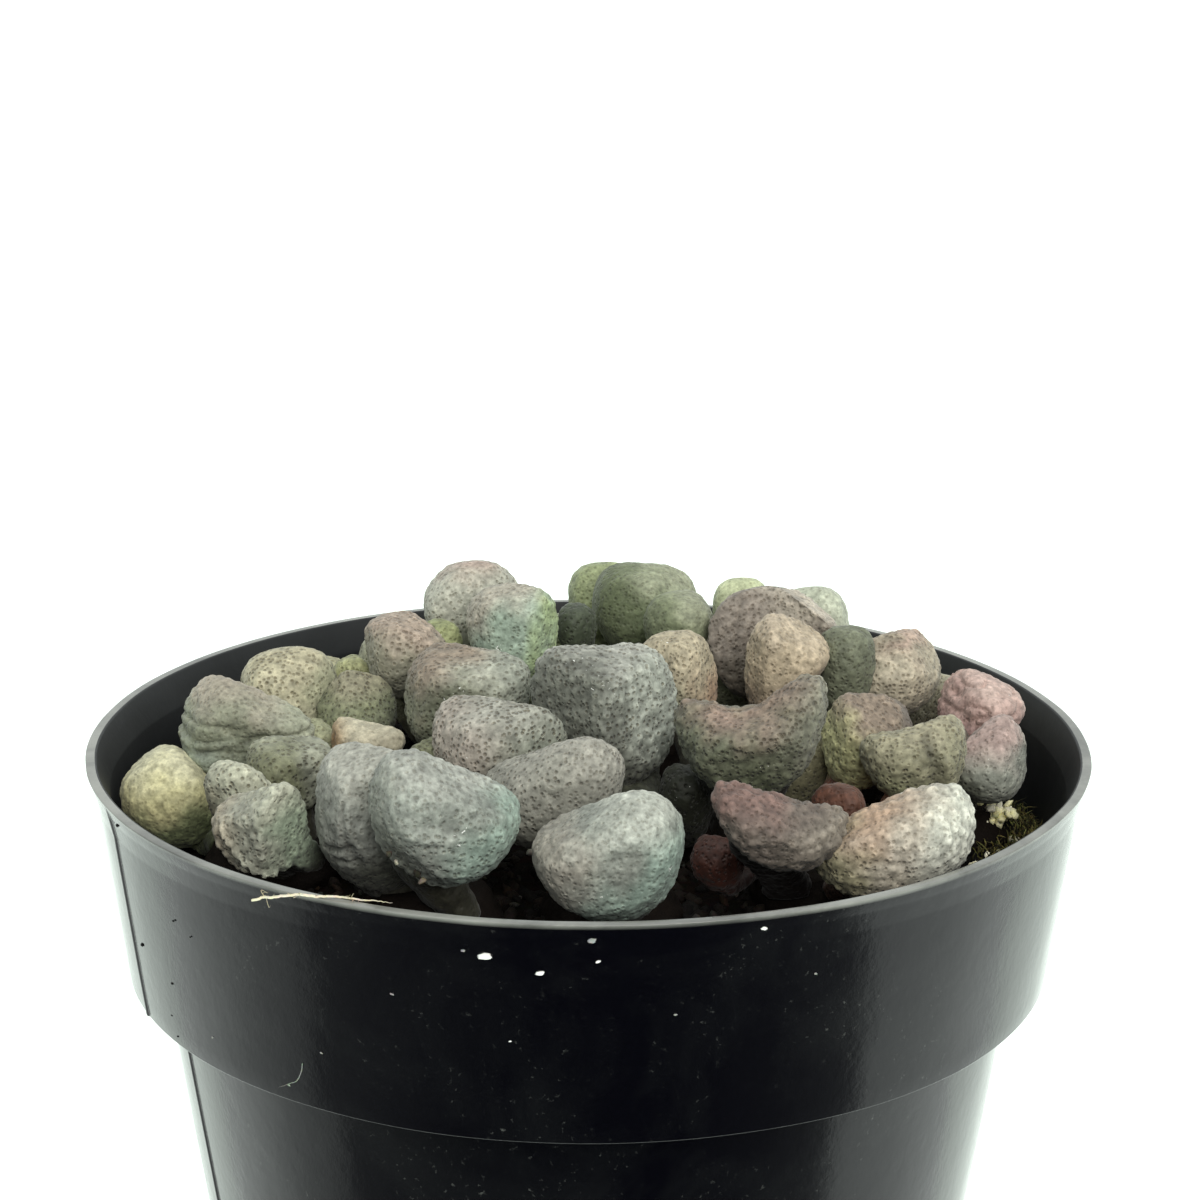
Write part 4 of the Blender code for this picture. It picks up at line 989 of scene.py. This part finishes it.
# Rear right head: a bright green leaf at the back, pale green and pinkish brown ones before it.
grow_head("head_rear_right", (23, 15), [
    leaf((15.2, 31.0, 13.0, 100, 15, 0, 5.6, 6.5, 6.5, 0.8, 20, 19), "#bec5a0", dots=0.3, warts=0.5, glints=()),
    leaf((22.0, 26.0, 12.7, 70, 12, -10, 7.4, 8.0, 7.0, 1.0, 22, 19), "#bbc0ac",
         ("#aea899", DOWN, 0.30), dots=0.35, warts=0.6, glints=()),
    leaf((23.9, 9.5, 13.7, 280, 5, 0, 5.6, 8.0, 4.8, 0.6, 22, 12), "#6b6f5c", dots=0.6, glints=()),
    leaf((28.5, 12.5, 12.5, 315, 28, -8, 10.2, 8.2, 7.5, 1.0, 27, 13), "#b0a793",
         ("#b8a292", UP, 0.40), ("#858471", (-0.7, 0, 0.4), 0.40), dots=0.75, glints=(),
         facets=(((-0.2, -0.6, 0.75), 0.75), ((0.7, -0.4, 0.55), 0.80))),
    leaf((27.5, 25.0, 7.5, 45, 20, 0, 8.6, 8.5, 7.5, 1.0, 25, 19), "#98977f", seen=False),
    leaf((34.0, 16.5, 6.5, 25, 22, 0, 8.0, 8.0, 7.0, 1.0, 27, 16), "#9a9580", seen=False),
    leaf((14.0, 23.0, 9.0, 200, 15, 0, 7.0, 8.0, 7.0, 0.8, 19, 17), "#8f917a", seen=False),
    leaf((21.0, 31.8, 6.0, 60, 15, 0, 7.0, 7.5, 5.5, 0.8, 22, 20), "#8f917a", seen=False),
], 1500)

# Front right head: brown and olive leaves on reddish stalks, with a dark red-brown crescent low in
# front and one tiny red leaf in the shade.
grow_head("head_front_right", (20, -14), [
    leaf((24.3, -4.0, 11.5, 285, 22, -10, 7.4, 8.5, 7.2, 1.0, 21, -11), "#928c70",
         ("#8a7c6e", (0.3, 0, 0.95), 0.30), ("#bab98a", (-0.8, 0, -0.5), 0.30), dots=0.7, warts=1.3,
         stalk="#6b4535", glints=(), facets=(((0.4, -0.6, 0.7), 0.68), ((-0.9, -0.3, 0.1), 0.74))),
    leaf((28.5, -10.0, 11.5, 285, 30, 8, 9.2, 6.5, 7.0, 2.0, 24, -13), "#8c8971",
         ("#98937c", UP, 0.45), ("#7c7d60", DOWN, 0.35), dots=0.75, warts=1.3, stalk="#8a5f4a",
         glints=((-0.3, 0.8, 0.8),), marks=((0.10, 1.0, 0.15, 0.45, 0.70, -0.50),),
         facets=(((-0.2, -0.1, 0.97), 0.72), ((0, -0.95, -0.2), 0.72)),
         pushes=(((0.6, 0, 0.5), 2.0, (0, 0, 0.5)),)),
    leaf((15.5, -27.5, 12.0, 262, 45, -32, 12.0, 5.6, 6.2, 2.0, 17, -18), "#6a6159",
         ("#735d56", UP, 0.25), ("#8e867a", (0.85, -0.2, -0.5), 0.45), ("#4a443d", DOWN, 0.40),
         dots=0.55, warts=2.0, stalk="#130c09", glints=((0.6, 0.5, 1.0),),
         facets=(((0.2, -0.4, 0.9), 0.42), ((0, -0.95, -0.3), 0.62))),
    leaf((25.4, -25.0, 9.5, 295, 35, 18, 14.0, 8.8, 8.4, 1.0, 22, -18), "#b4ac9d",
         ("#a8907b", (-0.55, 0, 0.83), 0.30), ("#c6c7ba", RIGHT, 0.30), ("#88836a", (-0.6, 0, -0.8), 0.40),
         dots=0.5, warts=1.8, stalk="#3d2a20", glints=((0.5, 0.5, 1.4),),
         facets=(((-0.45, -0.2, 0.87), 0.52), ((0, -1, -0.1), 0.66), ((0.8, -0.5, 0.2), 0.86))),
    # Painted shade: the tiny red leaf is painted dark red-brown, below its own red, as the shade it sits in.
    leaf((11.0, -19.5, 5.5, 235, 30, 0, 4.4, 4.6, 4.2, 0.3, 15, -14), "#42231a", stalk="#24100b", glints=()),
    leaf((21.4, -15.2, 8.2, 60, 5, 0, 4.8, 5.2, 4.2, 0.4, 21.0, -14.8), "#5a3a2d", dots=0.3, seen=False),
], 1700)

# Right head: purple-red wrinkled leaves, grey-green low down, close to the pot's wall.
grow_head("head_right", (33, 2), [
    leaf((35.7, 5.0, 11.0, 20, 25, 0, 9.0, 7.2, 7.0, 1.0, 34, 4), "#ad928a",
         ("#c2aca2", (0.5, 0, 0.85), 0.55), ("#856966", (-0.5, 0, -0.8), 0.30), dots=0.3, glints=(),
         wrinkles=(0.40, 2.2, 0.7, UP, -0.8),
         facets=(((0.2, -0.3, 0.93), 0.72), ((-0.5, -0.8, 0.3), 0.78))),
    leaf((35.4, -4.0, 9.4, 330, 40, 20, 8.2, 7.7, 7.0, 1.0, 34, 0), "#93968b",
         ("#a8938c", (-0.2, 0, 0.98), 0.22), ("#5b5e50", (-0.7, 0, -0.7), 0.40), dots=0.5, glints=(),
         facets=(((-0.5, -0.5, 0.7), 0.72), ((0.8, -0.5, 0.1), 0.80))),
    leaf((28.0, 4.0, 8.0, 180, 15, 0, 6.5, 8.0, 6.0, 0.8, 30, 3), "#7d746a", seen=False),
    leaf((29.8, -3.0, 6.5, 210, 15, 0, 5.0, 7.0, 5.0, 0.5, 31, 0), "#5f584e", seen=False),
    leaf((32.6, 0.9, 8.2, 100, 5, 0, 4.4, 5.2, 4.0, 0.4, 32.6, 1.3), "#6a6156", seen=False),
], 1900)

# On the pot: a dry root lies along the rim, and specks of perlite and peat, and one pale hair, stick
# to the collar. Each speck is (angle from the front in degrees, depth below the rim, size, colour).
ROOT_LINE = np.array([(-26.3, -37.2, 78.9), (-24.7, -38.1, 79.5), (-22.8, -38.9, 80.05), (-20.9, -39.4, 80.15),
                      (-18.9, -39.9, 80.25), (-16.9, -40.3, 80.10), (-15.1, -40.9, 80.15)])
PERLITE_SPECK, PALE_SPECK, PEAT_SPECK = "#e9e9e4", "#8d8f8a", "#0a0a0b"
COLLAR_SPECKS = ((-10.3, 3.2, 0.27, PERLITE_SPECK), (-4.8, 4.4, 0.17, PERLITE_SPECK),
                 (1.0, 3.3, 0.10, PERLITE_SPECK), (0.4, 1.4, 0.20, PALE_SPECK), (17.7, 1.2, 0.14, PERLITE_SPECK),
                 (-8.0, 10.6, 0.06, PERLITE_SPECK), (-12.4, 2.7, 0.10, PALE_SPECK), (-47.2, 16.7, 0.09, PALE_SPECK),
                 (-35.1, 18.3, 0.08, PALE_SPECK), (-29.9, 14.3, 0.07, PALE_SPECK), (24.0, 6.0, 0.09, PALE_SPECK),
                 (9.0, 8.2, 0.08, PALE_SPECK), (-20.5, 7.5, 0.09, PALE_SPECK), (-62.1, 12.1, 0.15, PEAT_SPECK),
                 (-62.4, 1.1, 0.14, PEAT_SPECK), (-54.5, 13.6, 0.12, PEAT_SPECK), (-56.3, 17.1, 0.08, PEAT_SPECK),
                 (-55.6, 18.9, 0.08, PEAT_SPECK), (-51.4, 7.0, 0.09, PEAT_SPECK), (-48.3, 7.7, 0.07, PEAT_SPECK))


def on_collar_face(angle, depth):
    """A place on the collar's outside: its angle from the front and its depth below the rim."""
    angle, depth = np.asarray(angle, dtype=float), np.asarray(depth, dtype=float)
    radius = COLLAR_TOP + (COLLAR_FOOT - COLLAR_TOP) * (depth - RIM_FLARE) / (COLLAR_DEPTH - RIM_FLARE)
    radius = np.where(depth < RIM_FLARE, COLLAR_TOP + 0.35, radius)
    way = np.radians(angle - 90)
    return np.stack([radius * np.cos(way), radius * np.sin(way), POT_HEIGHT - depth], axis=-1)


def smooth_line(points, count):
    """A smooth curve through given points: a cubic through each four, read at even steps."""
    ends = np.concatenate([[2 * points[0] - points[1]], points, [2 * points[-1] - points[-2]]])
    t = np.linspace(0, len(points) - 1 - 1e-9, count)
    i, f = t.astype(int), (t % 1)[:, None]
    a, b, c, d = (ends[i + k] for k in range(4))
    return 0.5 * (2 * b + (c - a) * f + (2 * a - 5 * b + 4 * c - d) * f ** 2 + (3 * b - a - 3 * c + d) * f ** 3)


root = smooth_line(ROOT_LINE, 60)
rng = np.random.default_rng(61)
root += 0.10 * lattice_noise(root, 1.1, 64)[:, None] + rng.normal(0, 0.02, root.shape)
hair_starts = rng.integers(4, 52, 16)
hair_ways = unit(rng.normal(0, 1, (16, 3)) * [1.0, 0.5, 1.0] + [0, -0.3, 0.1])
hair_steps = np.linspace(0, 1, 60)[None, :, None]
hairs = root[hair_starts][:, None] + hair_ways[:, None] * hair_steps * rng.uniform(0.2, 0.7, (16, 1, 1))
hairs += rng.normal(0, 0.2, (16, 1, 3)) * np.sin(math.pi * hair_steps)
collar_hair = smooth_line(on_collar_face([-32.7, -33.0, -33.8, -34.9, -36.8], [15.8, 16.6, 17.6, 18.1, 18.9]), 60)
paths = np.concatenate([root[None], hairs, collar_hair[None]])
threads("dry_root", paths, np.concatenate([[0.115], rng.uniform(0.02, 0.04, 16), [0.05]]),
        np.array([linear("#ded6be")] + [linear("#a59c84")] * 16 + [linear("#7b7d78")]), crumb_skin)
angles, depths, sizes, codes = zip(*COLLAR_SPECKS)
speck_ways = np.radians(np.array(angles) - 90)
level = np.stack([-np.sin(speck_ways), np.cos(speck_ways), 0.25 * np.sin(7 * speck_ways)], axis=-1)
out = np.stack([np.cos(speck_ways), np.sin(speck_ways), 0 * speck_ways], axis=-1)
upright = unit(np.cross(out, level))
speck_frames = np.stack([unit(level), upright, np.cross(unit(level), upright)], axis=-1)
scatter("collar_specks", on_collar_face(angles, depths), np.array(sizes), (1.5, 2.2),
        np.array([linear(code) for code in codes]), 2, crumb_skin, 62, speck_frames)

# Two crumbs of peat and perlite hang on the lower edge of the left front leaf.
crumb_places = np.array([(-15.9, -32.6, 81.0), (-15.3, -32.9, 80.4), (-13.6, -33.4, 79.6), (-13.2, -33.3, 79.0)])
scatter("leaf_crumbs", crumb_places, np.array([0.28, 0.2, 0.26, 0.34]), (1.2, 1.8),
        np.array([linear(code) for code in ("#4a443a", "#b8b2a2", "#2c261f", "#7d7565")]), 2, crumb_skin, 63)

# Stage: a pale floor, a soft bright room and one broad light above. A dark card lies in front of the
# pot, seen only by what shines, as the dark side of the room is in the photograph.
CAMERA_PLACE = (0.0, -0.2543, 0.1656)
CAMERA_PITCH = math.radians(15.97)
CAMERA_YAW = math.radians(0.214)
CAMERA_ROLL = math.radians(0.303)
CAMERA_LENS = 88.9
FLOOR_SIZE = 6.0
FLOOR_GLOW = 0.7
ROOM_WHITE = 1.10
ROOM_LIGHT = 0.64

floor_paint, shader, place = new_material("floor_matt_white", 0.9, 1.45)
shader.inputs["Base Color"].default_value = (*linear("#eaf2ec"), 1.0)
shader.inputs["Emission Color"].default_value = (0.90, 1.0, 0.94, 1.0)
shader.inputs["Emission Strength"].default_value = FLOOR_GLOW
half = FLOOR_SIZE / 2
floor_mesh = bpy.data.meshes.new("floor")
floor_mesh.from_pydata([(-half, -half, 0), (half, -half, 0), (half, half, 0), (-half, half, 0)], [], [(0, 1, 2, 3)])
floor_mesh.materials.append(floor_paint)
floor = bpy.data.objects.new("floor", floor_mesh)
bpy.context.scene.collection.objects.link(floor)

# The card's glow is set by its angle from the front, in degrees, to the right: black in its middle,
# with a long fade to the left and a short one to a sharp edge on the right.
CARD_REACH = ((0.06, 0.92), (0.15, 0.94), (0.20, 0.99), (0.26, 1.02), (0.34, 1.03), (0.90, 1.03))
CARD_GLOW = ((-112, 1.5), (-92, 1.15), (-76, 0.72), (-66, 0.52), (-63, 0.20), (-48, 0.12), (-34, 0.05),
             (-15, 0.0), (20, 0.0), (42, 0.06), (56, 0.18), (62, 0.30), (65, 1.05), (90, 1.25), (112, 1.5))
card_paint = bpy.data.materials.new("card_glow")
card_paint.use_nodes = True
card_paint.node_tree.nodes.remove(card_paint.node_tree.nodes["Principled BSDF"])
glow = add_node(card_paint, "ShaderNodeAttribute", attribute_name="glow")
lamp = add_node(card_paint, "ShaderNodeEmission", {"Color": glow.outputs["Color"]})
card_paint.node_tree.links.new(lamp.outputs[0], card_paint.node_tree.nodes["Material Output"].inputs["Surface"])
turns, glows = np.array(CARD_GLOW, dtype=float).T
fine_turns = np.linspace(turns[0], turns[-1], 120)
reaches, widths = np.array(CARD_REACH).T
card_ways = np.radians(fine_turns[None] * widths[:, None] - 90)
card_points = np.stack([reaches[:, None] * np.cos(card_ways), reaches[:, None] * np.sin(card_ways),
                        np.full(card_ways.shape, 0.001)], axis=-1)
corner = (np.arange(len(reaches) - 1)[:, None] * 120 + np.arange(119)).ravel()
card_faces = np.stack([corner, corner + 120, corner + 121, corner + 1], axis=-1)
card_mesh = bpy.data.meshes.new("card")
card_mesh.from_pydata(card_points.reshape(-1, 3), [], card_faces.tolist())
card_mesh.materials.append(card_paint)
card = bpy.data.objects.new("card", card_mesh)
bpy.context.scene.collection.objects.link(card)
card_light = np.tile(np.interp(fine_turns, turns, glows), len(reaches))
paint(card, "glow", card_light[:, None] * [0.93, 1.0, 0.96])
card.visible_camera = card.visible_diffuse = card.visible_shadow = card.visible_transmission = False

# The room is white behind the object and in its shine, and its soft light is a little dimmer.
world = bpy.data.worlds.new("bright_room")
bpy.context.scene.world = world
world.use_nodes = True
rays = add_node(world, "ShaderNodeLightPath")
strength = add_node(world, "ShaderNodeMapRange",
                    {"Value": rays.outputs["Is Diffuse Ray"], "To Min": ROOM_WHITE, "To Max": ROOM_LIGHT})
backdrop = world.node_tree.nodes["Background"]
backdrop.inputs["Color"].default_value = (0.94, 1.0, 0.975, 1)
world.node_tree.links.new(strength.outputs["Result"], backdrop.inputs["Strength"])


def soft_light(name, place, aim, size, watts, colour):
    """A square area light at a place, aimed at a point."""
    lamp = bpy.data.lights.new(name, "AREA")
    lamp.size = size
    lamp.energy = watts
    lamp.color = colour
    light = bpy.data.objects.new(name, lamp)
    light.location = place
    way = Vector(aim) - light.location
    light.rotation_euler = way.to_track_quat("-Z", "Y").to_euler()
    bpy.context.scene.collection.objects.link(light)


soft_light("front", (0.18, -0.62, 0.50), (0, 0, 0.08), 0.45, 4.0, (1.0, 0.97, 0.93))
soft_light("above", (0.05, 0.10, 0.75), (0, 0, 0.08), 0.5, 1.1, (1.0, 0.98, 0.95))

camera_data = bpy.data.cameras.new("camera")
camera_data.lens = CAMERA_LENS
camera_data.sensor_width = 36.0
camera = bpy.data.objects.new("camera", camera_data)
camera.matrix_world = (Matrix.Translation(CAMERA_PLACE) @ Matrix.Rotation(-CAMERA_YAW, 4, "Z")
                       @ Matrix.Rotation(math.pi / 2 - CAMERA_PITCH, 4, "X")
                       @ Matrix.Rotation(CAMERA_ROLL, 4, "Z"))
bpy.context.scene.collection.objects.link(camera)
bpy.context.scene.camera = camera
bpy.context.scene.view_settings.view_transform = "Standard"
